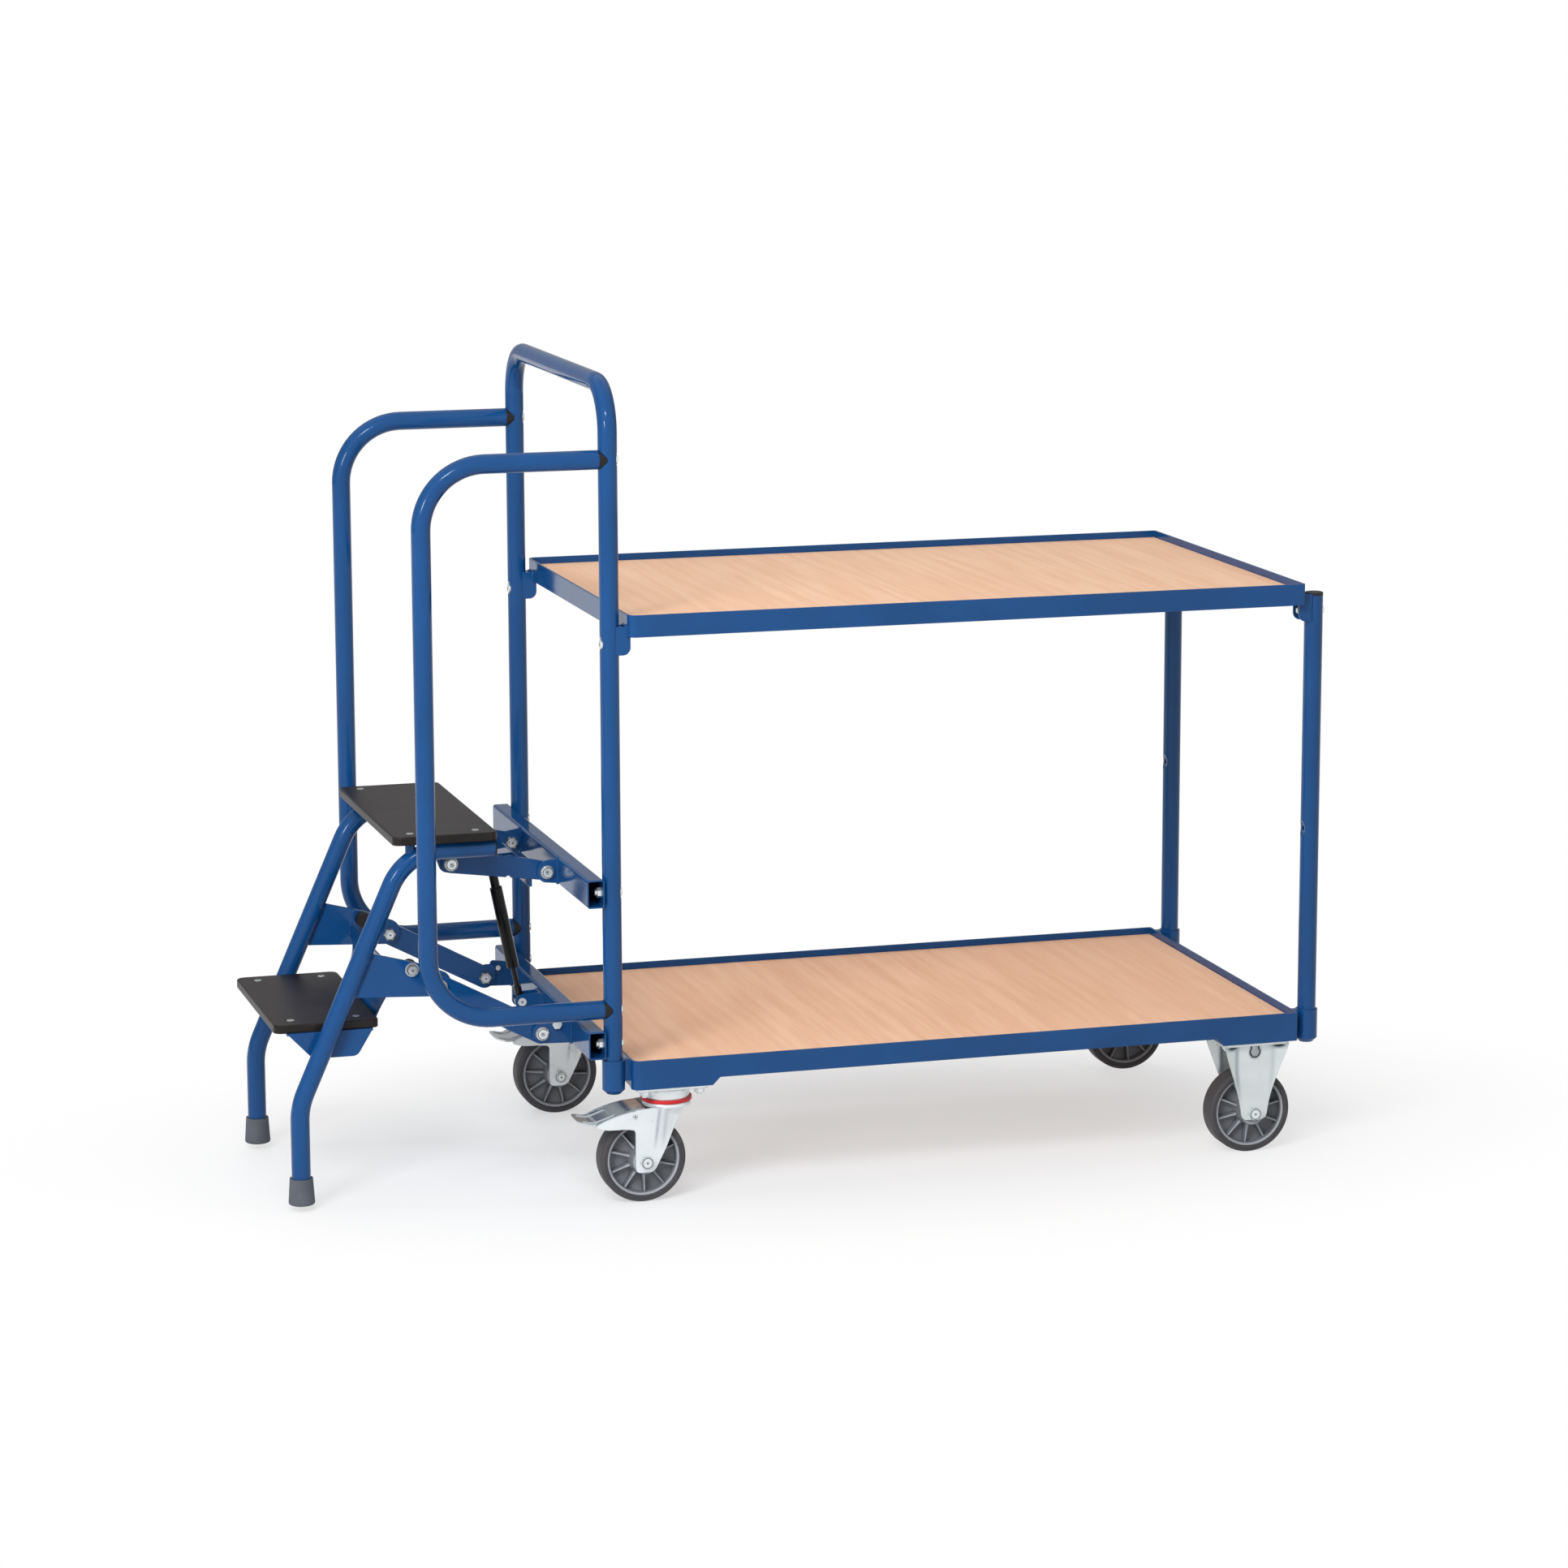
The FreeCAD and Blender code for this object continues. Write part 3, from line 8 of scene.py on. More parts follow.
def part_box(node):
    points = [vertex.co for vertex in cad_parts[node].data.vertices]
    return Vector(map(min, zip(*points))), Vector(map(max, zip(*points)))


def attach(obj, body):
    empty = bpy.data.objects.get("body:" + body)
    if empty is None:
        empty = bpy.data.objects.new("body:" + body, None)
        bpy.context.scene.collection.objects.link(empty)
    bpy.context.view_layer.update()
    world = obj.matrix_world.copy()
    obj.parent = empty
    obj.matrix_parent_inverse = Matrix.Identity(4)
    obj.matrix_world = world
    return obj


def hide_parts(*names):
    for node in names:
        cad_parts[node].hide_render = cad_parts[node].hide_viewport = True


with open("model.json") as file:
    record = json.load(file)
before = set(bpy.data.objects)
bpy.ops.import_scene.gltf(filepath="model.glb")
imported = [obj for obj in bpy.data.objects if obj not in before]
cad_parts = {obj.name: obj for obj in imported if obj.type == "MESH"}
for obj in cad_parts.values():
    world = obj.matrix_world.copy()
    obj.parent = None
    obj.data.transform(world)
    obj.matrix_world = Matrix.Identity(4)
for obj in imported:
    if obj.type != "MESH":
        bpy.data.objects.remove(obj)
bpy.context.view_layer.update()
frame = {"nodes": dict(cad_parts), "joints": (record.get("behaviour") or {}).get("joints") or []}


# Push hoop, right posts and guard rails.
# Drawn round steel tube, bent on a mandrel, with seats pressed in for the frame bolts,
# then powder coated in a gloss blue that keeps a faint orange peel.
class Value:
    """A value in a node tree; operators between values add Math nodes."""

    def __init__(self, tree, socket=None):
        self.tree = tree
        self.socket = socket

    def add(self, kind, settings=None, sockets=None, out=0):
        """Adds a node: its settings first, then the values or links of its sockets."""
        node = self.tree.nodes.new(kind)
        for name, setting in (settings or {}).items():
            setattr(node, name, setting)
        for name, value in (sockets or {}).items():
            if isinstance(value, Value):
                self.tree.links.new(value.socket, node.inputs[name])
            else:
                node.inputs[name].default_value = value
        return Value(self.tree, node.outputs[out])

    def maths(self, operation, *values):
        """Math node on these values."""
        return self.add("ShaderNodeMath", {"operation": operation}, dict(enumerate(values)))

    def __add__(self, other):
        return self.maths("ADD", self, other)

    def __radd__(self, other):
        return self.maths("ADD", other, self)

    def __sub__(self, other):
        return self.maths("SUBTRACT", self, other)

    def __rsub__(self, other):
        return self.maths("SUBTRACT", other, self)

    def __mul__(self, other):
        return self.maths("MULTIPLY", self, other)

    def __rmul__(self, other):
        return self.maths("MULTIPLY", other, self)

    def __truediv__(self, other):
        return self.maths("DIVIDE", self, other)

    def limited(self):
        """This value held between 0 and 1."""
        return self.add("ShaderNodeClamp", None, {"Value": self})

    def between(self, low=0.3, high=0.7):
        """0 below low, 1 above high and a smooth rise between; noise mostly lies in 0.3 to 0.7."""
        return self.add("ShaderNodeMapRange", {"interpolation_type": "SMOOTHSTEP"},
                        {"Value": self, "From Min": low, "From Max": high})

    def blend(self, first, second):
        """Colour that goes from first to second as this value goes from 0 to 1."""
        factor, first_colour, second_colour, mixed_colour = 0, 6, 7, 2
        sockets = {factor: self}
        for name, colour in ((first_colour, first), (second_colour, second)):
            sockets[name] = colour if isinstance(colour, Value) else (*colour, 1)
        return self.add("ShaderNodeMix", {"data_type": "RGBA"}, sockets, mixed_colour)

    def stretched(self, x, y, z):
        """These coordinates with a scale for each axis."""
        return self.add("ShaderNodeMapping", None, {"Vector": self, "Scale": (x, y, z)})

    def speckle(self, scale, detail=3.0, rough=0.5):
        """Noise at these coordinates."""
        return self.add("ShaderNodeTexNoise", None,
                        {"Vector": self, "Scale": scale, "Detail": detail, "Roughness": rough})

    def eased(self, reach, samples=6):
        """Normal with the sharp edges rounded over a reach."""
        return self.add("ShaderNodeBevel", {"samples": samples}, {"Radius": reach})

    def edge(self, reach, begins=0.01, whole=0.28):
        """How near a point is to a sharp edge, 0 on a flat and towards 1 on the edge."""
        flat = self.add("ShaderNodeNewGeometry", None, None, "Normal")
        facing = self.add("ShaderNodeVectorMath", {"operation": "DOT_PRODUCT"},
                          {0: self.eased(reach), 1: flat}, 1)
        return (1 - facing).between(begins, whole)

    def mark(self):
        """What a piece's own mesh has marked at its points for painted light: 0 plain, 1 painted
        shade or highlight, more the darker painted shade of an opening.
        """
        return self.add("ShaderNodeAttribute", {"attribute_name": "mark"}, None, "Fac")

    def bump(self, height, strength, depth, normal):
        """Normal with a height's relief on it."""
        return self.add("ShaderNodeBump", None, {"Strength": strength, "Distance": depth,
                                                 "Height": height, "Normal": normal})


def rgb(red, green, blue):
    """Colour in linear light from the 0 to 255 values of a screen, by the sRGB curve."""
    def linear(value):
        share = value / 255
        return share / 12.92 if share <= 0.04045 else ((share + 0.055) / 1.055) ** 2.4
    return (linear(red), linear(green), linear(blue))


def toned(colour, factor, lift=0.0):
    """Colour made lighter or darker."""
    return tuple(min(1.0, channel * factor + lift) for channel in colour)


def new_finish(name):
    """New material; returns it, its Principled shader and the piece's own coordinates."""
    material = bpy.data.materials.new(name)
    material.use_nodes = True
    shader = material.node_tree.nodes["Principled BSDF"]
    place = Value(material.node_tree).add("ShaderNodeTexCoord", None, None, "Object")
    return material, shader, place


def feed(shader, **sockets):
    """Links or sets the shader's sockets; underscores in a name stand for spaces."""
    for name, value in sockets.items():
        socket = shader.inputs[name.replace("_", " ")]
        if isinstance(value, Value):
            value.tree.links.new(value.socket, socket)
        else:
            socket.default_value = value if isinstance(value, (int, float)) else (*value, 1)


def dress(material, *names):
    """Gives the named CAD nodes one material."""
    for name in names:
        mesh = frame["nodes"][name].data
        mesh.materials.clear()
        mesh.materials.append(material)


def powder_coat(name, colour, edge_reach, gloss=0.25):
    """Powder coat: orange peel, faint uneven depth, and lighter on sharp edges by an uneven amount.
    """
    peel_grain, dust_grain, cloud_grain = 420, 60, 9
    peel_strength, peel_depth = 0.022, 0.0006
    smoothest, dust_rough = 0.08, 0.06
    deep, shallow, edge_pale = toned(colour, 0.93), toned(colour, 1.06), toned(colour, 1.5, 0.01)
    least_edge_pale, dust_edge_pale, edge_pale_share = 0.3, 0.7, 0.7
    material, shader, place = new_finish(name)
    peel = place.speckle(peel_grain, detail=2.0)
    dust = place.speckle(dust_grain, detail=5.0, rough=0.65)
    body = place.speckle(cloud_grain).between().blend(deep, shallow)
    # Sharp edges are made lighter by an amount that varies with the dust noise.
    edge_lightening = (place.edge(edge_reach) * (least_edge_pale + dust_edge_pale * dust)).limited()
    feed(shader, Base_Color=(edge_pale_share * edge_lightening).blend(body, edge_pale),
         Roughness=smoothest + dust_rough * dust, Specular_IOR_Level=gloss,
         Normal=place.bump(peel, peel_strength, peel_depth, place.eased(edge_reach)))
    return material


blue = rgb(15, 65, 116)
tube_coat = powder_coat("blue_coat_on_tube", blue, edge_reach=0.0012)
dress(tube_coat, "push_hoop", "right_post_near", "right_post_far", "guard_rail_near",
      "guard_rail_far")


# Trays, corner sockets, caster pads and hook brackets.
# Folded steel strip with welded corners; the sockets and hooks are welded to the end walls
# and everything is coated with the frame in the same blue.
def piece_tree(name, **sizes):
    """Empty geometry tree with a named input for each size; returns it and its inputs."""
    tree = bpy.data.node_groups.new(name, "GeometryNodeTree")
    tree.interface.new_socket("Shape", in_out="INPUT", socket_type="NodeSocketGeometry")
    for label, kind in sizes.items():
        tree.interface.new_socket(label, in_out="INPUT", socket_type="NodeSocket" + kind)
    tree.interface.new_socket("Shape", in_out="OUTPUT", socket_type="NodeSocketGeometry")
    start = tree.nodes.new("NodeGroupInput")
    return tree, {socket.name: Value(tree, socket) for socket in start.outputs if socket.name}


def close_tree(tree, shape, finish):
    """Ends a geometry tree: real geometry in one finish."""
    whole = shape.add("GeometryNodeRealizeInstances", None, {"Geometry": shape})
    dressed = whole.add("GeometryNodeSetMaterial", None, {"Geometry": whole, "Material": finish})
    tree.links.new(dressed.socket, tree.nodes.new("NodeGroupOutput").inputs[0])


def grown(name, tree, mesh, **sizes):
    """Runs a geometry tree on a mesh and returns the result as a plain piece."""
    piece = bpy.data.objects.new(name, mesh)
    bpy.context.scene.collection.objects.link(piece)
    modifier = piece.modifiers.new("tree", "NODES")
    modifier.node_group = tree
    for socket in tree.interface.items_tree:
        if socket.in_out == "INPUT" and socket.name in sizes:
            modifier[socket.identifier] = sizes[socket.name]
    graph = bpy.context.evaluated_depsgraph_get()
    result = bpy.data.meshes.new_from_object(piece.evaluated_get(graph), depsgraph=graph)
    piece.modifiers.remove(modifier)
    piece.data = result
    return piece


def bead_tree():
    """Weld bead: a round bead along the edges of a mesh, rippled by the puddles it was laid in."""
    puddle_step, bead_sides = 0.25, 7
    lump_grain, lump, lump_middle = 160.0, 0.7, 0.5
    tree, sizes = piece_tree("weld_bead", Radius="Float", Pitch="Float", Ripple="Float",
                             Seed="Float", Finish="Material")
    path = sizes["Shape"].add("GeometryNodeMeshToCurve", None, {"Mesh": sizes["Shape"]})
    path = path.add("GeometryNodeResampleCurve", {"mode": "LENGTH"},
                    {"Curve": path, "Length": sizes["Pitch"] * puddle_step})
    along = path.add("GeometryNodeSplineParameter", None, None, "Length")
    turn = along * (2 * math.pi) / sizes["Pitch"]
    wave = turn.maths("SINE", turn)
    spot = path.add("GeometryNodeInputPosition")
    uneven = spot.add("ShaderNodeTexNoise", {"noise_dimensions": "4D"},
                      {"Vector": spot, "W": sizes["Seed"], "Scale": lump_grain, "Detail": 1.0})
    swell = 1 + sizes["Ripple"] * wave + lump * (uneven - lump_middle)
    section = path.add("GeometryNodeCurvePrimitiveCircle", None,
                       {"Resolution": bead_sides, "Radius": sizes["Radius"]})
    bead = path.add("GeometryNodeCurveToMesh", None,
                    {"Curve": path, "Profile Curve": section, "Scale": swell, "Fill Caps": True})
    close_tree(tree, bead, sizes["Finish"])
    return tree


def seam_mesh(name, seams):
    """Mesh of plain edges along each seam's points."""
    points, edges = [], []
    for seam in seams:
        edges += [(len(points) + k, len(points) + k + 1) for k in range(len(seam) - 1)]
        points += seam
    mesh = bpy.data.meshes.new(name)
    mesh.from_pydata(points, edges, [])
    return mesh


def weld(name, body, seams):
    """Lays weld beads along seams on one body."""
    piece = grown(name, weld_bead, seam_mesh(name + "_path", seams), Radius=bead_r,
                  Pitch=puddle_pitch, Ripple=puddle_ripple, Seed=bead_seed, Finish=plate_coat)
    piece.data.shade_smooth()
    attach(piece, body)


def middle(node):
    """Middle of a CAD node's box."""
    low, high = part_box(node)
    return (low + high) / 2


plate_coat = powder_coat("blue_coat_on_plate", blue, edge_reach=0.0014)
dress(plate_coat, "upper_tray", "lower_tray", "corner_sockets", "caster_pads", "hook_brackets")

weld_bead = bead_tree()
bead_r = 0.0019
puddle_pitch = 0.0034
puddle_ripple = 0.16
bead_seed = 4.0
lower_low, lower_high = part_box("lower_tray")
upper_low, upper_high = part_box("upper_tray")
hook_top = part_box("hook_brackets")[1].z
tray_depth = upper_high.z - upper_low.z
rim_gap = 0.001
post_y = middle("right_post_far").y
tie_half = 0.005
hook_half = 0.012
tray_seams = []
for end_x in (lower_low.x, lower_high.x):
    for y in (-post_y, post_y):
        for edge_y in (y - tie_half, y + tie_half):
            tray_seams.append([(end_x, edge_y, lower_high.z - tray_depth),
                               (end_x, edge_y, lower_high.z - rim_gap)])
        tray_seams.append([(end_x, y - hook_half, upper_low.z), (end_x, y - hook_half, hook_top),
                           (end_x, y + hook_half, hook_top), (end_x, y + hook_half, upper_low.z)])
weld("tray_welds", "chassis", tray_seams)

# Crossbars, ears and spring clevis.
# Rectangular tube bolted between the left posts, with laser cut ears and the spring's clevis
# welded to its face, in the same blue coat.
dress(plate_coat, "upper_crossbar", "lower_crossbar", "upper_ears", "lower_ears", "spring_clevis")

ear_thick = 0.005
ear_root_half = 0.018
bar_seams = []
for bar, ears in (("upper_crossbar", "upper_ears"), ("lower_crossbar", "lower_ears")):
    face_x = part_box(bar)[0].x
    bar_z = middle(bar).z
    ear_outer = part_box(ears)[1].y
    for side in (-1, 1):
        near_y, far_y = side * ear_outer, side * (ear_outer - ear_thick)
        low_z, high_z = bar_z - ear_root_half, bar_z + ear_root_half
        bar_seams.append([(face_x, near_y, low_z), (face_x, near_y, high_z),
                          (face_x, far_y, high_z), (face_x, far_y, low_z),
                          (face_x, near_y, low_z)])
clevis_low, clevis_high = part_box("spring_clevis")
base_half = (clevis_high.y - clevis_low.y) / 2
for y in (-base_half, base_half):
    bar_seams.append([(face_x, y, clevis_low.z), (face_x, y, clevis_high.z)])
weld("crossbar_welds", "chassis", bar_seams)


# Boards of the two trays.
# Chipboard with a pale beech print whose grain runs across the trolley, under a satin film;
# each board lies loose on its tray's ledge.
def beech(name):
    """Beech: soft streaks along Y, fine pores, broad paler and redder bands and a satin film."""
    pale, warm, red_band, pore_brown = (rgb(239, 198, 166), rgb(229, 183, 150),
                                        rgb(231, 183, 150), rgb(192, 142, 108))
    band_share, pore_share = 0.45, 0.3
    film_rough, streak_rough, film_gloss = 0.52, 0.1, 0.24
    pore_strength, pore_depth, eased_edge = 0.04, 0.0004, 0.0006
    material, shader, place = new_finish(name)
    streak = place.stretched(22, 1.1, 22).speckle(3.2, detail=6.0, rough=0.6)
    pore = place.stretched(650, 45, 60).speckle(1.0, detail=2.0)
    band = place.stretched(5, 0.8, 5).speckle(1.5, detail=2.0)
    wood = streak.between(0.32, 0.7).blend(pale, warm)
    wood = (band_share * band.between(0.4, 0.68)).blend(wood, red_band)
    wood = (pore_share * pore.between(0.62, 0.75)).blend(wood, pore_brown)
    feed(shader, Base_Color=wood, Roughness=film_rough + streak_rough * streak,
         Specular_IOR_Level=film_gloss,
         Normal=place.bump(pore, pore_strength, pore_depth, place.eased(eased_edge)))
    return material


dress(beech("beech_print"), "upper_board", "lower_board")


# Saddles, post plugs and leg plugs.
# Injection moulded black polyethylene with a fine spark texture; the saddles are clamped
# between rails and posts, and the plugs are pressed into the tube ends.
def moulded(name, colour, grain, rough, crest=1.3):
    """Moulded plastic or rubber: spark texture and smoother edges, with a painted highlight on
    sharp edges and on marked crests.
    """
    pale, crest_highlight = toned(colour, 1.3, 0.006), toned(colour, crest)
    cloud_grain, cloud_share, edge_highlight_share = 25, 0.6, 0.5
    edge_reach, edge_polish, gloss = 0.0012, 0.1, 0.3
    spark_rough, spark_strength, spark_depth = 0.14, 0.12, 0.0003
    material, shader, place = new_finish(name)
    spark = place.speckle(grain)
    cloud = place.speckle(cloud_grain).between(0.35, 0.7)
    edge = place.edge(edge_reach)
    # Painted highlight: the colour goes paler on sharp edges and towards a lighter tone on marked
    # crests, for the light they catch; the cloud between colour and pale is the plastic's own
    # uneven tone.
    tint = (edge_highlight_share * edge).blend((cloud_share * cloud).blend(colour, pale), pale)
    feed(shader, Base_Color=place.mark().blend(tint, crest_highlight),
         Roughness=rough + spark_rough * spark - edge_polish * edge, Specular_IOR_Level=gloss,
         Normal=place.bump(spark, spark_strength, spark_depth, place.eased(edge_reach)))
    return material


dress(moulded("black_plastic", rgb(16, 16, 18), grain=1500, rough=0.42),
      "rail_saddles", "post_plugs", "leg_plugs")


# Bolts, pivot pins and step screws.
# Cold headed steel with bright zinc plating, tightened with washers and lock nuts;
# the pins' heads have a turned groove and a centre dimple, not modelled but painted on as dark
# shade.
def nearest(place, spots):
    """Distance from the nearest of some (x, z) spots, seen along Y."""
    x = place.add("ShaderNodeSeparateXYZ", None, {"Vector": place}, "X")
    z = place.add("ShaderNodeSeparateXYZ", None, {"Vector": place}, "Z")
    least = None
    for spot_x, spot_z in spots:
        off_x, off_z = x - spot_x, z - spot_z
        square = off_x * off_x + off_z * off_z
        least = square if least is None else least.maths("MINIMUM", least, square)
    return least.maths("SQRT", least)


def pin_spots(node):
    """Places (x, z) of a CAD node's separate pins, which lie along Y."""
    same_point, digits = 1e-6, 4
    merged = bmesh.new()
    merged.from_mesh(frame["nodes"][node].data)
    bmesh.ops.remove_doubles(merged, verts=merged.verts, dist=same_point)
    left = set(merged.verts)
    spots = set()
    while left:
        reached = [left.pop()]
        for point in reached:
            beside = {edge.other_vert(point) for edge in point.link_edges} & left
            left -= beside
            reached += beside
        xs = [point.co.x for point in reached]
        zs = [point.co.z for point in reached]
        spots.add((round((min(xs) + max(xs)) / 2, digits), round((min(zs) + max(zs)) / 2, digits)))
    merged.free()
    return sorted(spots)


def zinc_plate(name, colour, metal, rough, rim, reach=0.0009, pins=()):
    """Bright zinc: faintly cloudy with fine rolling lines; painted shade on rims, on marked folds
    and openings, and as rings on pin heads.
    """
    clouded, shadow = toned(colour, 0.93), toned(colour, 0.1)
    painted_fold_shade, painted_opening_shade = rgb(140, 152, 160), rgb(38, 44, 50)
    cloud_grain, cloud_rough, eased_edge = 30, 0.1, 0.0008
    line_grain, line_strength, line_depth = 260, 0.04, 0.0002
    groove_inner, groove_outer, dimple_rim = (0.0062, 0.007), (0.0078, 0.0086), (0.0013, 0.0022)
    head_shade_share = 0.8
    material, shader, place = new_finish(name)
    cloud = place.speckle(cloud_grain)
    lines = place.stretched(6, 6, 1).speckle(line_grain, detail=2.0)
    # Painted shade: near sharp edges the colour goes towards shadow, by rim, as the dark outlines
    # round heads and washers.
    tint = (rim * place.edge(reach)).blend(cloud.between().blend(clouded, colour), shadow)
    # Painted shade at marked points: grey along folds, flanks and the guard's top, near black round
    # openings and under the top plate's edge.
    marked = place.mark()
    tint = marked.limited().blend(tint, painted_fold_shade)
    tint = (marked - 1).limited().blend(tint, painted_opening_shade)
    # Painted shade on pin heads: a dark ring for the groove and a dark dot for the dimple, which
    # are not modelled.
    if pins:
        apart = nearest(place, pins)
        groove = apart.between(*groove_inner) - apart.between(*groove_outer)
        dimple = 1 - apart.between(*dimple_rim)
        tint = (head_shade_share * (groove + dimple)).limited().blend(tint, shadow)
    feed(shader, Base_Color=tint, Metallic=metal, Roughness=rough + cloud_rough * cloud,
         Normal=place.bump(lines, line_strength, line_depth, place.eased(eased_edge)))
    return material


# rim sets the painted shade on the edges of bolts and pins.
bolt_finish = {"colour": rgb(222, 228, 230), "metal": 0.75, "rough": 0.2, "rim": 0.85,
               "reach": 0.0018}
zinc = zinc_plate("bright_zinc", **bolt_finish)
dress(zinc, "frame_bolts", "step_screws", "spring_top_pin", "caster_bolts")


def plate_pins(*nodes):
    """Gives nodes of pins along Y bright zinc with painted shade for a groove and a dimple on each
    head.
    """
    for node in nodes:
        dress(zinc_plate("zinc_on_" + node, pins=pin_spots(node), **bolt_finish), node)


plate_pins("pivot_pins", "ladder_bolts")

# Gas spring.
# Black enamelled pressure tube over a blackened rod, held by headed pins.
dress(powder_coat("black_enamel", rgb(10, 10, 12), edge_reach=0.001, gloss=0.2), "spring_cylinder")
dress(powder_coat("blackened_rod", rgb(16, 16, 18), edge_reach=0.0005), "spring_rod")

# Arms and ladder frame.
# Bent tube legs with gussets, step bracket, riser and step support welded between them,
# and laser cut arms, all in the same blue coat.
dress(tube_coat, "ladder_leg_near", "ladder_leg_far")
dress(plate_coat, "upper_arm", "lower_arm_near", "lower_arm_far", "ladder_gussets",
      "upper_step_bracket", "riser_panel", "lower_step_support")

tube_r = 0.0135
leg_knee_z = 0.151
leg_top_z = 0.508
leg_run = 0.158
leg_foot_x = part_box("ladder_leg_near")[0].x + tube_r
leg_slope = Vector((leg_run, 0, leg_top_z - leg_knee_z)).normalized()
leg_back = Vector((leg_slope.z, 0, -leg_slope.x))


def leg_point(z, back, y):
    """Point beside a leg's slanted run: at a height on its axis, then so far off to the back."""
    axis = Vector((leg_foot_x + leg_run * (z - leg_knee_z) / (leg_top_z - leg_knee_z), y, z))
    return tuple(axis + leg_back * back)


gusset_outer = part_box("ladder_gussets")[1].y
support_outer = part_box("lower_step_support")[1].y
riser_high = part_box("riser_panel")[1]
bracket_low, bracket_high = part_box("upper_step_bracket")
plate_thick = 0.005
sheet_thick = 0.003
gusset_seam = (0.309, 0.368)
support_seam = (0.222, 0.250)
support_gap = 0.0012
crevice = 0.0068
riser_seam = 0.016
bracket_front_gap = 0.012
bracket_back_gap = 0.004
ladder_seams = []
for side in (-1, 1):
    for y in (side * gusset_outer, side * (gusset_outer - plate_thick)):
        ladder_seams.append([leg_point(z, tube_r, y) for z in gusset_seam])
    y = side * (support_outer + support_gap)
    for back in (-crevice, crevice):
        ladder_seams.append([leg_point(z, back, y) for z in support_seam])
    y = side * riser_high.y
    x = riser_high.x - sheet_thick
    ladder_seams.append([(x, y, riser_high.z - riser_seam), (x, y, riser_high.z),
                         (x + sheet_thick, y, riser_high.z)])
    y = side * bracket_high.y
    z = bracket_high.z - sheet_thick
    ladder_seams.append([(bracket_low.x + bracket_front_gap, y, z),
                         (bracket_high.x - bracket_back_gap, y, z)])
weld("ladder_welds", "ladder", ladder_seams)


# Steps.
# Film faced plywood treads with eased edges, each held by four countersunk screws.
def tread_film(name):
    """Phenolic film: brown black with a fine mesh grip and faint scuffs."""
    dark, faded, scuffed = rgb(25, 21, 21), rgb(33, 28, 28), rgb(70, 64, 63)
    cloud_grain, scuff_share, eased_edge = 18, 0.2, 0.0022
    film_rough, cloud_rough, film_gloss = 0.34, 0.12, 0.2
    grip_grain, grip_strength, grip_depth = 700, 0.08, 0.0003
    material, shader, place = new_finish(name)
    cloud = place.speckle(cloud_grain, detail=4.0)
    scuff = place.stretched(50, 260, 50).speckle(1.0)
    grip = place.add("ShaderNodeTexVoronoi", {"feature": "F1"},
                     {"Vector": place, "Scale": grip_grain})
    tint = cloud.between().blend(dark, faded)
    tint = (scuff_share * scuff.between(0.6, 0.75)).blend(tint, scuffed)
    feed(shader, Base_Color=tint, Roughness=film_rough + cloud_rough * cloud,
         Specular_IOR_Level=film_gloss,
         Normal=place.bump(grip, grip_strength, grip_depth, place.eased(eased_edge)))
    return material


dress(tread_film("black_tread"), "upper_step", "lower_step")

# Ladder feet and buffers.
# Moulded rubber, pushed over the tube ends or bolted to the gussets.
dress(moulded("grey_rubber", rgb(74, 78, 86), grain=900, rough=0.55), "ladder_feet")
dress(moulded("black_rubber", rgb(20, 20, 22), grain=900, rough=0.6), "ladder_buffers")

# Caster plates, axles, seals and brake pedals.
# Pressed and plated steel, bolted up to the caster pads; the pedals are bent from polished
# strip and the seals are red plastic rings pushed on below the plates.
dress(zinc, "swivel_plates")
plate_pins("fixed_axles", "fork_pins_near", "fork_pins_far")
dress(zinc_plate("polished_pedal", rgb(214, 220, 224), metal=0.92, rough=0.14, rim=0.5),
      "brake_pedal_near", "brake_pedal_far")
dress(moulded("red_seal", rgb(184, 30, 36), grain=900, rough=0.3), "swivel_seals")


# Swivel forks.
# One blank of sheet steel, pressed so that its back flanks turn inwards and its top forms
# a lipped crown round the king pin, then plated in bright zinc.
def smooth_rise(value, low, high):
    """0 below low, 1 above high and a smooth rise between, for plain numbers."""
    share = min(1.0, max(0.0, (value - low) / (high - low)))
    return share * share * (3 - 2 * share)


def mark_layer(mesh):
    """Layer of a bmesh that holds what is marked at its points."""
    return mesh.verts.layers.float.get("mark") or mesh.verts.layers.float.new("mark")


def pressed_sheet(mesh, across, up, place, inwards):
    """Adds a closed sheet to a bmesh from a grid of points and marks, as thick as inwards."""
    layer = mark_layer(mesh)
    skins = []
    for shift in (Vector((0, 0, 0)), inwards):
        skin = []
        for j in range(up + 1):
            skin.append([])
            for i in range(across + 1):
                point, mark = place(i / across, j / up)
                skin[j].append(mesh.verts.new(point + shift))
                skin[j][i][layer] = mark
        skins.append(skin)
    outer, inner = skins
    faces = []
    for j in range(up):
        for i in range(across):
            faces.append((outer[j][i], outer[j][i + 1], outer[j + 1][i + 1], outer[j + 1][i]))
            faces.append((inner[j][i], inner[j + 1][i], inner[j + 1][i + 1], inner[j][i + 1]))
    for j in range(up):
        faces.append((outer[j][0], outer[j + 1][0], inner[j + 1][0], inner[j][0]))
        faces.append((outer[j][-1], inner[j][-1], inner[j + 1][-1], outer[j + 1][-1]))
    for i in range(across):
        faces.append((outer[0][i], inner[0][i], inner[0][i + 1], outer[0][i + 1]))
        faces.append((outer[-1][i], outer[-1][i + 1], inner[-1][i + 1], inner[-1][i]))
    made = [mesh.faces.new(face) for face in faces]
    bmesh.ops.recalc_face_normals(mesh, faces=made)


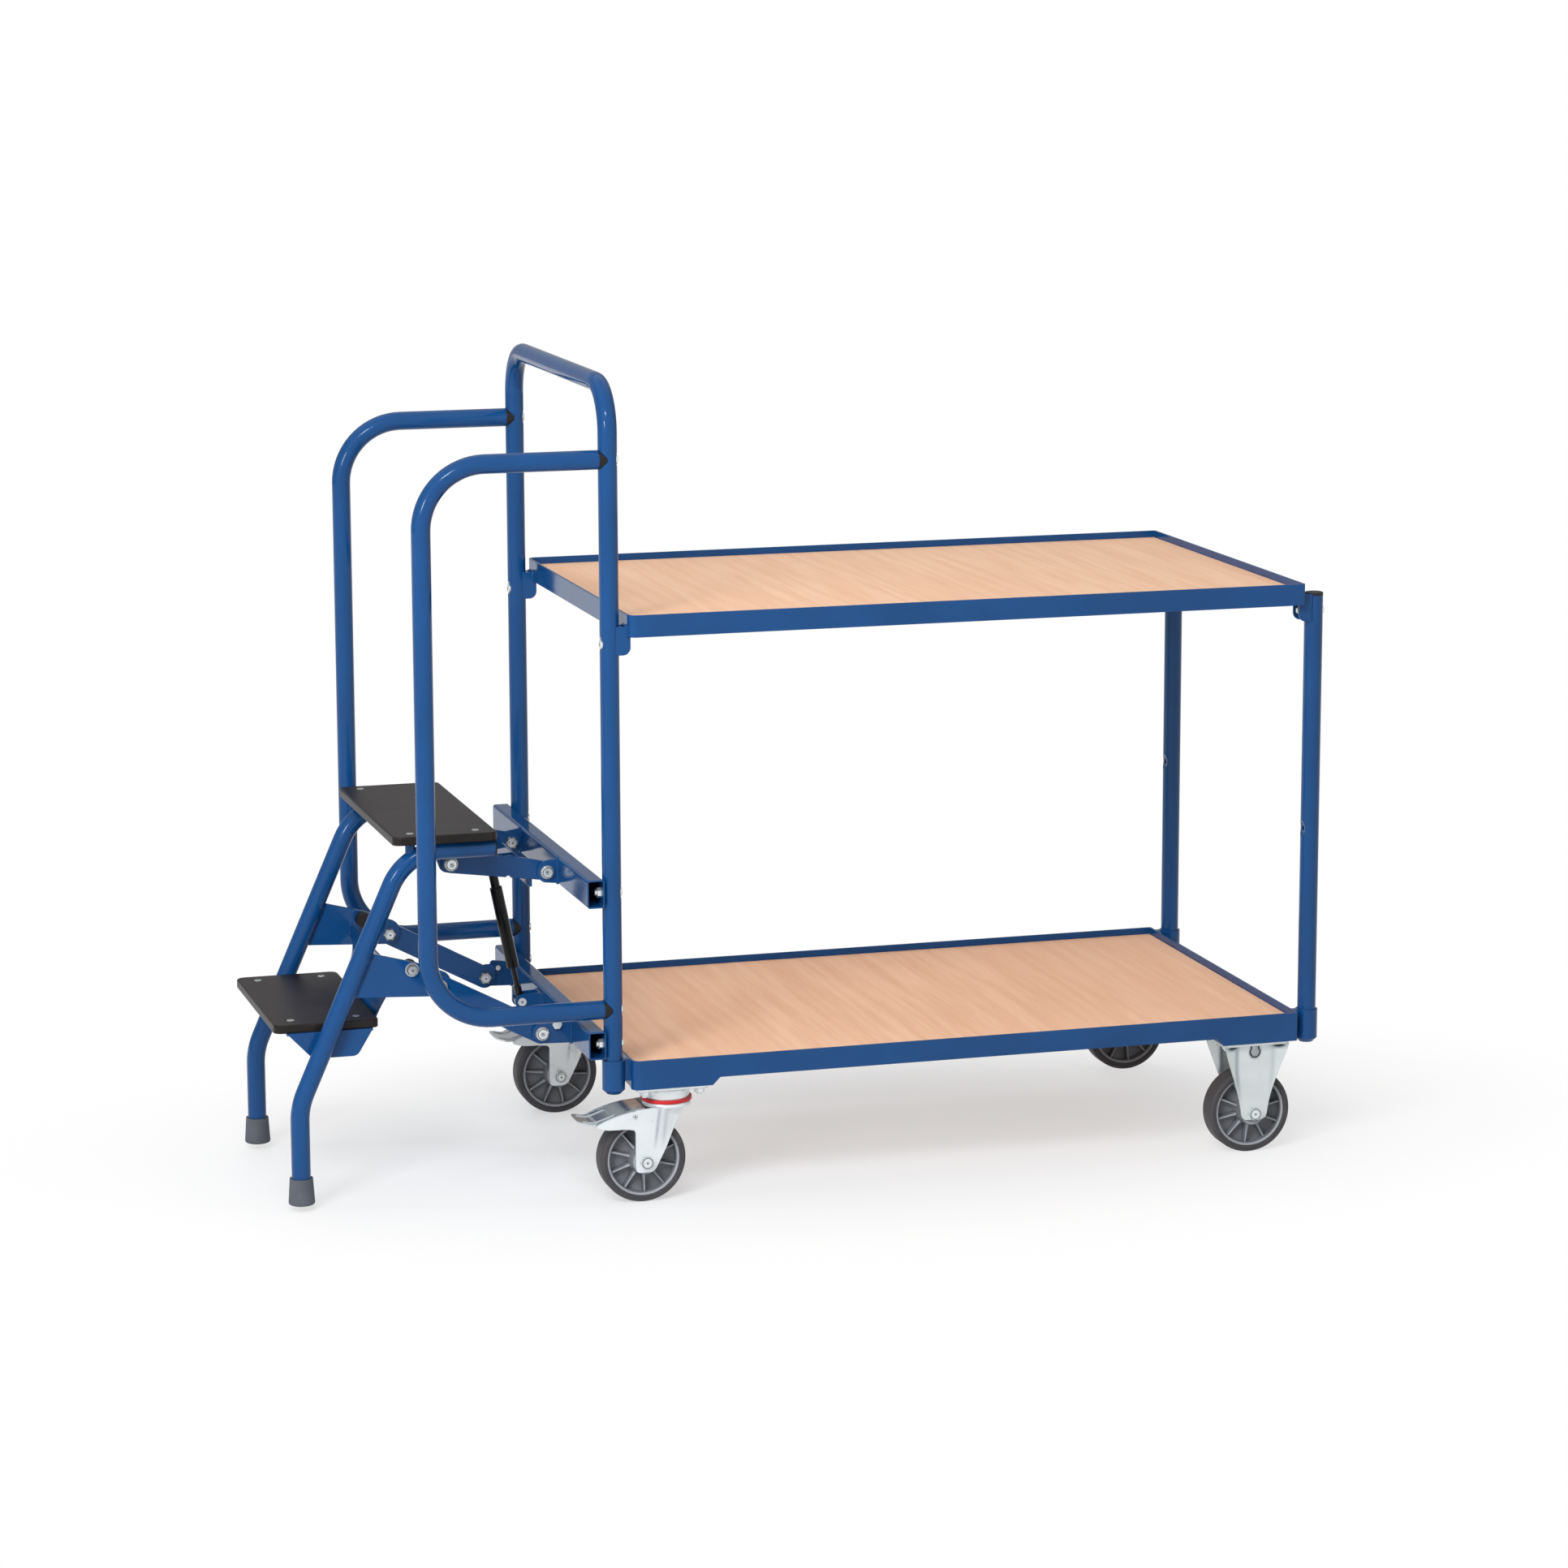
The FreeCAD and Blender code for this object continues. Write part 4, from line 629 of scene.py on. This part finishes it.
def turned(mesh, outline, centre, axis, steps):
    """Adds a ring to a bmesh: a closed outline of (radius, along, mark) turned about an axis."""
    layer = mark_layer(mesh)
    axis = Vector(axis)
    first = axis.orthogonal().normalized()
    second = axis.cross(first)
    rings = []
    for k in range(steps):
        angle = 2 * math.pi * k / steps
        spoke = first * math.cos(angle) + second * math.sin(angle)
        ring = []
        for radius, along, mark in outline:
            ring.append(mesh.verts.new(centre + spoke * radius + axis * along))
            ring[-1][layer] = mark
        rings.append(ring)
    made = []
    for k in range(steps):
        here, ahead = rings[k], rings[(k + 1) % steps]
        for i in range(len(outline)):
            following = (i + 1) % len(outline)
            made.append(mesh.faces.new((here[i], here[following], ahead[following], ahead[i])))
    bmesh.ops.recalc_face_normals(mesh, faces=made)


def finished(name, shape, material, body, slot, *replaced):
    """Turns a bmesh into a piece that rides on a body and stands for CAD nodes."""
    crease = math.radians(38)
    mesh = bpy.data.meshes.new(name)
    shape.to_mesh(mesh)
    shape.free()
    mesh.materials.append(material)
    mesh.shade_smooth()
    mesh.set_sharp_from_angle(angle=crease)
    piece = bpy.data.objects.new(name, mesh)
    bpy.context.scene.collection.objects.link(piece)
    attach(piece, body)
    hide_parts(*replaced)


def on_line(points, x):
    """Height at x on a smooth line through points."""
    total = 0.0
    for i, (xi, zi) in enumerate(points):
        share = zi
        for j, (xj, _) in enumerate(points):
            if i != j:
                share *= (x - xj) / (xi - xj)
        total += share
    return total


def folded(distance, bend):
    """How far a flank stands off past its crease, which is rounded over a bend."""
    if distance <= 0:
        return 0.0
    return distance ** 2 / (2 * bend) if distance < bend else distance - bend / 2


def painted_shade_line(distance, width):
    """Painted shade along a line: strong on it, faint a width away."""
    return math.exp(-(distance / width) ** 2)


def round_bottom(z, low, corner):
    """How far an edge is drawn in by the round corner at a cheek's foot."""
    inside = corner - (z - low)
    return corner - math.sqrt(max(0.0, corner ** 2 - inside ** 2)) if inside > 0 else 0.0


def from_foot(v, dense=0.25, power=1.6):
    """Share of a cheek's height for a row of its grid, with the rows close together at the foot."""
    dense_high = dense ** power
    return v ** power if v < dense else dense_high + (v - dense) * (1 - dense_high) / (1 - dense)


mm = 0.001
joint_at = {joint["name"]: Vector(joint["pos_m"])
            for joint in frame["joints"] if joint.get("pos_m")}
# The forks' rims and marked folds, flanks and openings are darkened in the zinc as painted shade.
fork_zinc = zinc_plate("fork_zinc", rgb(221, 227, 230), metal=0.5, rough=0.24, rim=0.35)
cheek_outer = 33.0
cheek_thick = 3.0
trail = 38.0
crown_low = 78.5
crown_top = 82.5
crown_r = 35.0
crown_lip = 2.0
crown_steps = 72
king_hole_r = 7.2
crown_outline = ((king_hole_r, crown_low), (crown_r - crown_lip - 0.5, crown_low),
                 (crown_r - crown_lip, crown_low - crown_lip), (crown_r, crown_low - crown_lip),
                 (crown_r, crown_top - 1.6), (crown_r - 0.6, crown_top - 0.5),
                 (crown_r - 1.8, crown_top), (king_hole_r, crown_top))
leg_grid = (40, 44)
fork_front = -15.5
fork_foot = -15.0
fork_corner = 6.5
fork_back = 11.3
fork_back_lean = 0.52
fork_neck_lean = 10.0
crease_x = 9.0
crease_lean = 0.13
flank_start = 10.0
flank_full = 46.0
flank_bend = 8.0
flank_slope = 0.36
fold_shade, fold_at, fold_wide = 0.75, 1.0, 2.2
flank_shade, flank_at, flank_wide = 0.4, 13.0, 3.0
guard_grid = (36, 12)
guard_top = ((-72.0, 59.5), (-45.0, 70.2), (-17.5, 76.2), (8.0, 78.5))
guard_low = ((-72.0, 55.0), (-60.0, 51.2), (-40.0, 50.0), (-20.5, 48.4))
guard_tip = guard_top[0][0]
guard_root = guard_low[3][0]
guard_root_top = guard_top[2][1]
guard_corner = 5.0
guard_shadow, guard_shadow_wide = 0.9, 1.5


def swivel_leg(side, axle):
    """Grid of one leg in mm from the axle: straight front, sloping back, flank folded inwards."""
    def place(u, v):
        z = fork_foot + from_foot(v) * (crown_low - fork_foot)
        rounding = round_bottom(z, fork_foot, fork_corner)
        left = fork_front + rounding
        if z > guard_root_top:
            left += (z - guard_root_top) * fork_neck_lean
        right = fork_back + fork_back_lean * (z - fork_foot) - rounding
        x = left + u * (right - left)
        past = x - crease_x - crease_lean * z
        depth = smooth_rise(z, flank_start, flank_full)
        # Painted shade along the fold and on the flank past it.
        mark = depth * (fold_shade * painted_shade_line(past - fold_at, fold_wide)
                        + flank_shade * painted_shade_line(past - flank_at, flank_wide))
        y = side * (cheek_outer - flank_slope * folded(past, flank_bend) * depth)
        return axle + Vector((x, y, z)) * mm, mark
    return place


def pedal_guard(side, axle):
    """Grid of the beak in front of a leg, which guards the pedal's side."""
    def place(u, v):
        x = fork_front + u * (guard_tip - fork_front)
        low = on_line(guard_low, min(x, guard_root))
        if x > guard_root:
            low -= guard_corner - math.sqrt(guard_corner ** 2 - (x - guard_root) ** 2)
        high = on_line(guard_top, x)
        z = low + v * (high - low)
        # Painted shadow along the guard's top edge, under the pedal.
        mark = guard_shadow * painted_shade_line(high - z, guard_shadow_wide)
        return axle + Vector((x, side * cheek_outer, z)) * mm, mark
    return place


for name in ("near", "far"):
    axle = joint_at["spin_%s_left" % name]
    king = axle + Vector((trail, 0, 0)) * mm
    fork = bmesh.new()
    for side in (-1, 1):
        inwards = Vector((0, -side * cheek_thick, 0)) * mm
        pressed_sheet(fork, *leg_grid, swivel_leg(side, axle), inwards)
        pressed_sheet(fork, *guard_grid, pedal_guard(side, axle), inwards)
    turned(fork, [(r * mm, z * mm, 0.0) for r, z in crown_outline], king, (0, 0, 1), crown_steps)
    finished("pressed_fork_" + name, fork, fork_zinc, "caster_fork_" + name, "zinc",
             "swivel_fork_" + name)

# Fixed forks.
# Sheet steel pressed so that both flanks of each cheek flare out to the top plate's edge,
# with a keyhole at the top of each cheek, and bolted up through the plate.
fixed_zinc = zinc_plate("fixed_fork_zinc", rgb(207, 214, 215), metal=0.5, rough=0.26, rim=0.35)
plate_half_x = 52.5
plate_half_y = 42.5
plate_round = 10.0
plate_high = 4.0
plate_steps = 32
cheek_grid = (56, 44)
fixed_foot = -9.5
fixed_corner = 9.0
fixed_top = 104.5
fixed_edge = ((0.0, 20.2), (40.0, 29.0), (72.0, 39.5), (104.5, 50.0))
flare_x, flare_spread = 20.0, 7.0
flare_low, flare_high = 5.0, 75.0
flare_start, flare_full = 4.0, 60.0
flare_slope, flare_bend = 0.46, 5.0
flare_at, flare_wide = 1.5, 3.2
front_crease_shade, back_crease_shade = 0.85, 0.3
keyhole_r = 6.0
keyhole_neck = 4.0
keyhole_z = 93.0
keyhole_steps = 24
keyhole_over = 1.0
cutter_half = 60.0
opening_shade_level = 3
opening_shade_rim, opening_shade_wide = 0.8, 2.2
plate_shadow_x, plate_shadow_reach = 36.0, 9.0
plate_shadow_down, plate_shadow_wide = 2.5, 3.5


def fixed_cheek(side, axle):
    """Grid of one cheek in mm from the axle: flat middle, both flanks sloping and folded out."""
    def place(u, v):
        z = fixed_foot + from_foot(v) * (fixed_top - fixed_foot)
        half = on_line(fixed_edge, z) - round_bottom(z, fixed_foot, fixed_corner)
        x = (2 * u - 1) * half
        past = abs(x) - flare_x - flare_spread * smooth_rise(z, flare_low, flare_high)
        depth = smooth_rise(z, flare_start, flare_full)
        # Painted shade along the flanks' creases, stronger on the front flank.
        crease = painted_shade_line(past - flare_at, flare_wide)
        mark = depth * (front_crease_shade if x < 0 else back_crease_shade) * crease
        # Painted shade round the keyhole's bulb and neck.
        bulb = painted_shade_line(math.hypot(x, z - keyhole_z) - keyhole_r - opening_shade_rim, opening_shade_wide)
        neck = 0.0
        if z > keyhole_z + keyhole_neck:
            neck = painted_shade_line(abs(x) - keyhole_neck - opening_shade_rim, opening_shade_wide)
        # Painted shadow under the top plate's edge near its ends; the sheet has no slot there.
        slot = painted_shade_line(fixed_top - plate_shadow_down - z, plate_shadow_wide)
        slot *= painted_shade_line(abs(x) - plate_shadow_x, plate_shadow_reach)
        y = side * (cheek_outer + flare_slope * folded(past, flare_bend) * depth)
        return axle + Vector((x, y, z)) * mm, max(mark, opening_shade_level * max(bulb, neck, slot))
    return place


def upright_plate(mesh, rim, low, thick):
    """Adds a plate to a bmesh from the (x, y) points of its rim, from a low height up."""
    lower = [mesh.verts.new((x, y, low)) for x, y in rim]
    upper = [mesh.verts.new((x, y, low + thick)) for x, y in rim]
    made = [mesh.faces.new(lower), mesh.faces.new(upper)]
    for k in range(len(rim)):
        following = (k + 1) % len(rim)
        made.append(mesh.faces.new((lower[k], lower[following], upper[following], upper[k])))
    bmesh.ops.recalc_face_normals(mesh, faces=made)


def keyhole(axle):
    """Solid that cuts the keyholes through both cheeks: a round bulb with a neck to the plate."""
    neck_angle = math.asin(keyhole_neck / keyhole_r)
    rim = [(keyhole_neck, fixed_top + keyhole_over)]
    for k in range(keyhole_steps + 1):
        angle = math.pi / 2 - neck_angle - k * 2 * (math.pi - neck_angle) / keyhole_steps
        rim.append((keyhole_r * math.cos(angle), keyhole_z + keyhole_r * math.sin(angle)))
    rim.append((-keyhole_neck, fixed_top + keyhole_over))
    cutter = bmesh.new()
    upright_plate(cutter, rim, -cutter_half, 2 * cutter_half)
    lay = Matrix(((1, 0, 0, 0), (0, 0, 1, 0), (0, 1, 0, 0), (0, 0, 0, 1)))
    bmesh.ops.transform(cutter, matrix=Matrix.Translation(axle) @ Matrix.Scale(mm, 4) @ lay,
                        verts=cutter.verts)
    bmesh.ops.recalc_face_normals(cutter, faces=cutter.faces)
    return cutter


def cut_away(shape, cutter):
    """Shape with the cutter's space taken out of it."""
    pieces = []
    for name, part in (("shape", shape), ("cutter", cutter)):
        mesh = bpy.data.meshes.new(name)
        part.to_mesh(mesh)
        part.free()
        piece = bpy.data.objects.new(name, mesh)
        bpy.context.scene.collection.objects.link(piece)
        pieces.append(piece)
    boolean = pieces[0].modifiers.new("cut", "BOOLEAN")
    boolean.operation = "DIFFERENCE"
    boolean.solver = "EXACT"
    boolean.object = pieces[1]
    graph = bpy.context.evaluated_depsgraph_get()
    cut = bpy.data.meshes.new_from_object(pieces[0].evaluated_get(graph), depsgraph=graph)
    result = bmesh.new()
    result.from_mesh(cut)
    for piece in pieces:
        bpy.data.objects.remove(piece)
    return result


fixed = bmesh.new()
for name in ("near", "far"):
    axle = joint_at["spin_%s_right" % name]
    fork = bmesh.new()
    for side in (-1, 1):
        inwards = Vector((0, -side * cheek_thick, 0)) * mm
        pressed_sheet(fork, *cheek_grid, fixed_cheek(side, axle), inwards)
    fork = cut_away(fork, keyhole(axle))
    rim = []
    for k in range(plate_steps):
        angle = 2 * math.pi * (k + 0.5) / plate_steps
        along, across = math.cos(angle), math.sin(angle)
        x = math.copysign(plate_half_x - plate_round, along) + plate_round * along
        y = math.copysign(plate_half_y - plate_round, across) + plate_round * across
        rim.append((axle.x + x * mm, axle.y + y * mm))
    upright_plate(fork, rim, axle.z + fixed_top * mm, plate_high * mm)
    joined = bpy.data.meshes.new("fixed_fork")
    fork.to_mesh(joined)
    fork.free()
    fixed.from_mesh(joined)
finished("pressed_fixed_forks", fixed, fixed_zinc, "chassis", "zinc", "fixed_forks")


# Wheels.
# Ribbed polypropylene rim with a grey elastomer tyre moulded round it, running on a plain
# bore between the cheeks of its fork.
def rib_tree():
    """Ribs of one rim: a single rib repeated round the axle."""
    tree, sizes = piece_tree("rim_ribs", Count="Int", Turn="Float", Centre="Vector",
                             Finish="Material")
    spots = sizes["Shape"].add("GeometryNodePoints", None, {"Count": sizes["Count"]})
    angle = spots.add("GeometryNodeInputIndex") * (2 * math.pi) / sizes["Count"] + sizes["Turn"]
    turn = angle.add("ShaderNodeCombineXYZ", None, {"Y": angle})
    ribs = spots.add("GeometryNodeInstanceOnPoints", None,
                     {"Points": spots, "Instance": sizes["Shape"], "Rotation": turn})
    ribs = ribs.add("GeometryNodeTransform", None,
                    {"Geometry": ribs, "Translation": sizes["Centre"]})
    close_tree(tree, ribs, sizes["Finish"])
    return tree


def rib_mesh():
    """One rib along X, thick and deep at the hub, thin at the ring, with chamfered crests."""
    points, marks = [], []
    for x, half_t, half_w in rib_sections:
        crest = rib_chamfer * half_t
        outline = [(-half_t, crest - half_w), (crest - half_t, -half_w), (half_t - crest, -half_w),
                   (half_t, crest - half_w), (half_t, half_w - crest), (half_t - crest, half_w),
                   (crest - half_t, half_w), (-half_t, half_w - crest)]
        points += [(x * mm, y * mm, z * mm) for z, y in outline]
        # Points on the rib's crests are marked for a painted highlight.
        marks += [float(abs(y) == half_w) for z, y in outline]
    corners = len(outline)
    last = len(points) - corners
    faces = [tuple(reversed(range(corners))), tuple(range(last, len(points)))]
    for ring in range(0, last, corners):
        for k in range(corners):
            following = (k + 1) % corners
            faces.append((ring + k, ring + following,
                          ring + corners + following, ring + corners + k))
    mesh = bpy.data.meshes.new("rib")
    mesh.from_pydata(points, [], faces)
    mesh.attributes.new("mark", "FLOAT", "POINT").data.foreach_set("value", marks)
    return mesh


def both_sides(half, crest):
    """Whole outline from the half on one side of the wheel's middle, with its crest marked for a
    painted highlight.
    """
    one = [(r * mm, y * mm, 1.0 if k in crest else 0.0) for k, (r, y) in enumerate(half)]
    return one + [(r, -y, mark) for r, y, mark in reversed(one)]


# The rim's marked lip, hub ring and rib crests are painted lighter as a highlight.
rim_plastic = moulded("grey_rim", rgb(106, 109, 114), grain=1200, rough=0.4, crest=2.2)
rim_half = [(53.2, 15.0), (52.7, 16.3), (51.3, 16.6), (50.4, 15.7), (48.8, 14.6), (48.0, 3.6),
            (46.5, 2.6), (24.0, 2.6), (22.2, 3.8), (21.0, 14.0), (19.8, 22.0), (18.6, 28.2),
            (17.4, 29.3), (9.4, 29.3), (8.8, 28.6), (5.1, 28.6)]
rim_highlit_crest = (1, 2, 3, 12)
rim_steps = 96
rib_count = 10
rib_sections = ((19.0, 3.2, 15.0), (30.0, 1.8, 13.4), (49.2, 1.25, 12.4))
rib_chamfer = 0.7
rim_ribs = rib_tree()
tyre_rubber = moulded("grey_tyre", rgb(62, 60, 63), grain=700, rough=0.5)
tyre_half = [(53.2, 16.9), (53.8, 17.7), (55.6, 18.0), (56.1, 17.3), (56.6, 17.3), (57.0, 17.9)]
shoulder_r, shoulder_out, shoulder_side, shoulder_steps = 5.9, 56.6, 12.0, 7
for k in range(1, shoulder_steps + 1):
    angle = math.pi / 2 * (1 - k / shoulder_steps)
    tyre_half.append((shoulder_out + shoulder_r * math.cos(angle),
                      shoulder_side + shoulder_r * math.sin(angle)))
tyre_half.append((62.5, 0.5))
tyre_steps = 120
rib_turns = {"near_left": 0.27, "far_left": 0.1, "near_right": -0.21, "far_right": 0.2}
for corner, turn in rib_turns.items():
    axle = joint_at["spin_" + corner]
    ribs = grown("ribs_" + corner, rim_ribs, rib_mesh(), Count=rib_count, Turn=turn,
                 Centre=tuple(axle), Finish=rim_plastic)
    rim = bmesh.new()
    rim.from_mesh(ribs.data)
    bpy.data.objects.remove(ribs)
    turned(rim, both_sides(rim_half, rim_highlit_crest), axle, (0, 1, 0), rim_steps)
    finished("ribbed_rim_" + corner, rim, rim_plastic, "wheel_" + corner, "grey_rim",
             "wheel_rim_" + corner)
    tyre = bmesh.new()
    turned(tyre, both_sides(tyre_half, ()), axle, (0, 1, 0), tyre_steps)
    finished("moulded_tyre_" + corner, tyre, tyre_rubber, "wheel_" + corner, "grey_tyre",
             "wheel_tyre_" + corner)


# Studio.
# Pale floor that runs out to white, a white surround, a glowing grey wall round the sides and back
# and two small glowing panels, which light nothing and only show in gloss as painted reflection
# and painted highlights, soft lamps and the photograph's camera.
def seen_direct(start):
    """1 for the rays that show the background itself: from the camera, in gloss, through glass."""
    rays = [start.add("ShaderNodeLightPath", None, None, "Is %s Ray" % kind)
            for kind in ("Camera", "Glossy", "Transmission")]
    return (rays[0] + rays[1] + rays[2]).limited()


floor_reach = 30.0
floor_mesh = bpy.data.meshes.new("floor")
floor_mesh.from_pydata([(-floor_reach, -floor_reach, 0), (floor_reach, -floor_reach, 0),
                        (floor_reach, floor_reach, 0), (-floor_reach, floor_reach, 0)],
                       [], [(0, 1, 2, 3)])
floor = bpy.data.objects.new("floor", floor_mesh)
bpy.context.scene.collection.objects.link(floor)
bounce_cancelling_white, plain_white, fibre_grey = (0.77, 0.83, 0.89), (0.86, 0.86, 0.86), (0.7, 0.7, 0.7)
fibre_grain, fibre_share = 900, 0.08
white_near, white_far = 0.52, 0.48
paper, paper_shader, place = new_finish("floor_paper")
from_middle = place.add("ShaderNodeVectorMath", {"operation": "LENGTH"},
                        {0: place.stretched(0.55, 1, 1)}, 1)
fibre = place.speckle(fibre_grain)
# Painted cool tint near the trolley, which cancels the warm light the boards bounce onto the floor.
tint = from_middle.between(0.1, 0.6).blend(bounce_cancelling_white, plain_white)
feed(paper_shader, Base_Color=(fibre_share * fibre).blend(tint, fibre_grey), Roughness=0.7,
     Specular_IOR_Level=0.2)
whiter = seen_direct(place) * (white_near + white_far * from_middle.between(0.25, 0.8))
white = place.add("ShaderNodeEmission", None, {"Color": (1, 1, 1, 1), "Strength": 1.0})
paper_links = paper.node_tree.links
mixed = paper.node_tree.nodes.new("ShaderNodeMixShader")
paper_links.new(whiter.socket, mixed.inputs[0])
paper_links.new(paper_shader.outputs[0], mixed.inputs[1])
paper_links.new(white.socket, mixed.inputs[2])
paper_links.new(mixed.outputs[0], paper.node_tree.nodes["Material Output"].inputs["Surface"])
floor_mesh.materials.append(paper)

world_light = 0.29
world = bpy.data.worlds.new("studio")
world.use_nodes = True
bpy.context.scene.world = world
backdrop = world.node_tree.nodes["Background"]
glow = world_light + (1 - world_light) * seen_direct(Value(world.node_tree))
world.node_tree.links.new(glow.socket, backdrop.inputs["Strength"])
backdrop.inputs["Color"].default_value = (1, 1, 1, 1)


def only_in_gloss(name, mesh, paint_grain, darker, lighter, strength):
    """Sets up a glowing wall or panel of the studio that lights nothing and only shows in gloss."""
    paint, shader, place = new_finish(name + "_glow")
    feed(shader, Base_Color=(0, 0, 0), Specular_IOR_Level=0,
         Emission_Color=place.speckle(paint_grain).blend(darker, lighter),
         Emission_Strength=strength)
    mesh.materials.append(paint)
    wall = bpy.data.objects.new(name, mesh)
    bpy.context.scene.collection.objects.link(wall)
    wall.visible_camera = False
    wall.visible_diffuse = False
    wall.visible_shadow = False


room_reach = 9.0
room_high = 8.0
room_start, room_step, room_count = -10, 10, 21
room_angles = [math.radians(room_step * k + room_start) for k in range(room_count)]
room_points = [(room_reach * math.cos(angle), room_reach * math.sin(angle), z)
               for z in (0.0, room_high) for angle in room_angles]
room_faces = [(k, k + 1, room_count + k + 1, room_count + k) for k in range(room_count - 1)]
room_mesh = bpy.data.meshes.new("dark_room")
room_mesh.from_pydata(room_points, [], room_faces)
only_in_gloss("dark_room", room_mesh, 0.4, (0.4, 0.4, 0.4), (0.5, 0.5, 0.5), 1)


def aimed(place, aim):
    """Turn of a lamp at place that looks at aim."""
    return (Vector(aim) - Vector(place)).to_track_quat("-Z", "Y").to_matrix()


def softbox(name, place, aim, width, height, watts):
    """Rectangular lamp at place that looks at aim and doesn't show in gloss."""
    lamp = bpy.data.lights.new(name, "AREA")
    lamp.shape = "RECTANGLE"
    lamp.size = width
    lamp.size_y = height
    lamp.energy = watts
    holder = bpy.data.objects.new(name, lamp)
    holder.matrix_world = Matrix.Translation(place) @ aimed(place, aim).to_4x4()
    holder.visible_glossy = False
    bpy.context.scene.collection.objects.link(holder)


softbox("top_box", (0.2, -0.4, 3.6), (0.1, 0, 0.5), 2.6, 1.6, watts=17)
softbox("back_box", (-0.5, 3.2, 3.4), (0.1, 0, 0.4), 2.0, 1.0, watts=30)
softbox("left_strip", (-4.2, 0.6, 1.5), (-0.3, 0, 0.7), 0.4, 2.4, watts=22)
softbox("high_box", (-1.6, -3.0, 3.2), (0.2, 0, 0.4), 2.2, 1.0, watts=115)
softbox("front_box", (-3.2, -3.2, 2.0), (0, 0, 0.5), 1.2, 2.0, watts=98)
softbox("right_box", (3.4, -2.2, 1.8), (0.2, 0, 0.5), 0.8, 1.6, watts=5)


def bright_panel(name, place, aim, width, height, strength):
    """Small glowing panel that lights nothing and only shows in gloss, painting crisp highlight
    lines on the coated tubes.
    """
    corners = [Vector(place) + aimed(place, aim) @ Vector((x * width / 2, y * height / 2, 0))
               for x, y in ((-1, -1), (1, -1), (1, 1), (-1, 1))]
    mesh = bpy.data.meshes.new(name)
    mesh.from_pydata(corners, [], [(0, 1, 2, 3)])
    only_in_gloss(name, mesh, 2.0, (0.95, 0.97, 1.0), (1.0, 1.0, 1.0), strength)


bright_panel("front_highlight_panel", (-3.1, -3.1, 1.95), (0, 0, 0.5), 0.4, 0.7, strength=36)
bright_panel("high_highlight_panel", (-1.55, -2.9, 3.1), (0.2, 0, 0.4), 0.8, 0.3, strength=36)

yaw = math.radians(16.3878)
pitch = math.radians(10.7626)
roll = math.radians(-0.1764)
camera_at = (-1.8912, -6.5322, 1.8330)
ahead = Vector((math.sin(yaw) * math.cos(pitch), math.cos(yaw) * math.cos(pitch), -math.sin(pitch)))
level = Vector((math.cos(yaw), -math.sin(yaw), 0))
upright = level.cross(ahead)
right = math.cos(roll) * level + math.sin(roll) * upright
top = math.cos(roll) * upright - math.sin(roll) * level
lens = bpy.data.cameras.new("camera")
lens.sensor_width = 36.0
lens.lens = 107.96
lens.clip_end = 100
camera = bpy.data.objects.new("camera", lens)
camera.matrix_world = Matrix.Translation(camera_at) @ Matrix(
    (right, top, -ahead)).transposed().to_4x4()
bpy.context.scene.collection.objects.link(camera)
bpy.context.scene.camera = camera
bpy.context.scene.view_settings.view_transform = "Standard"
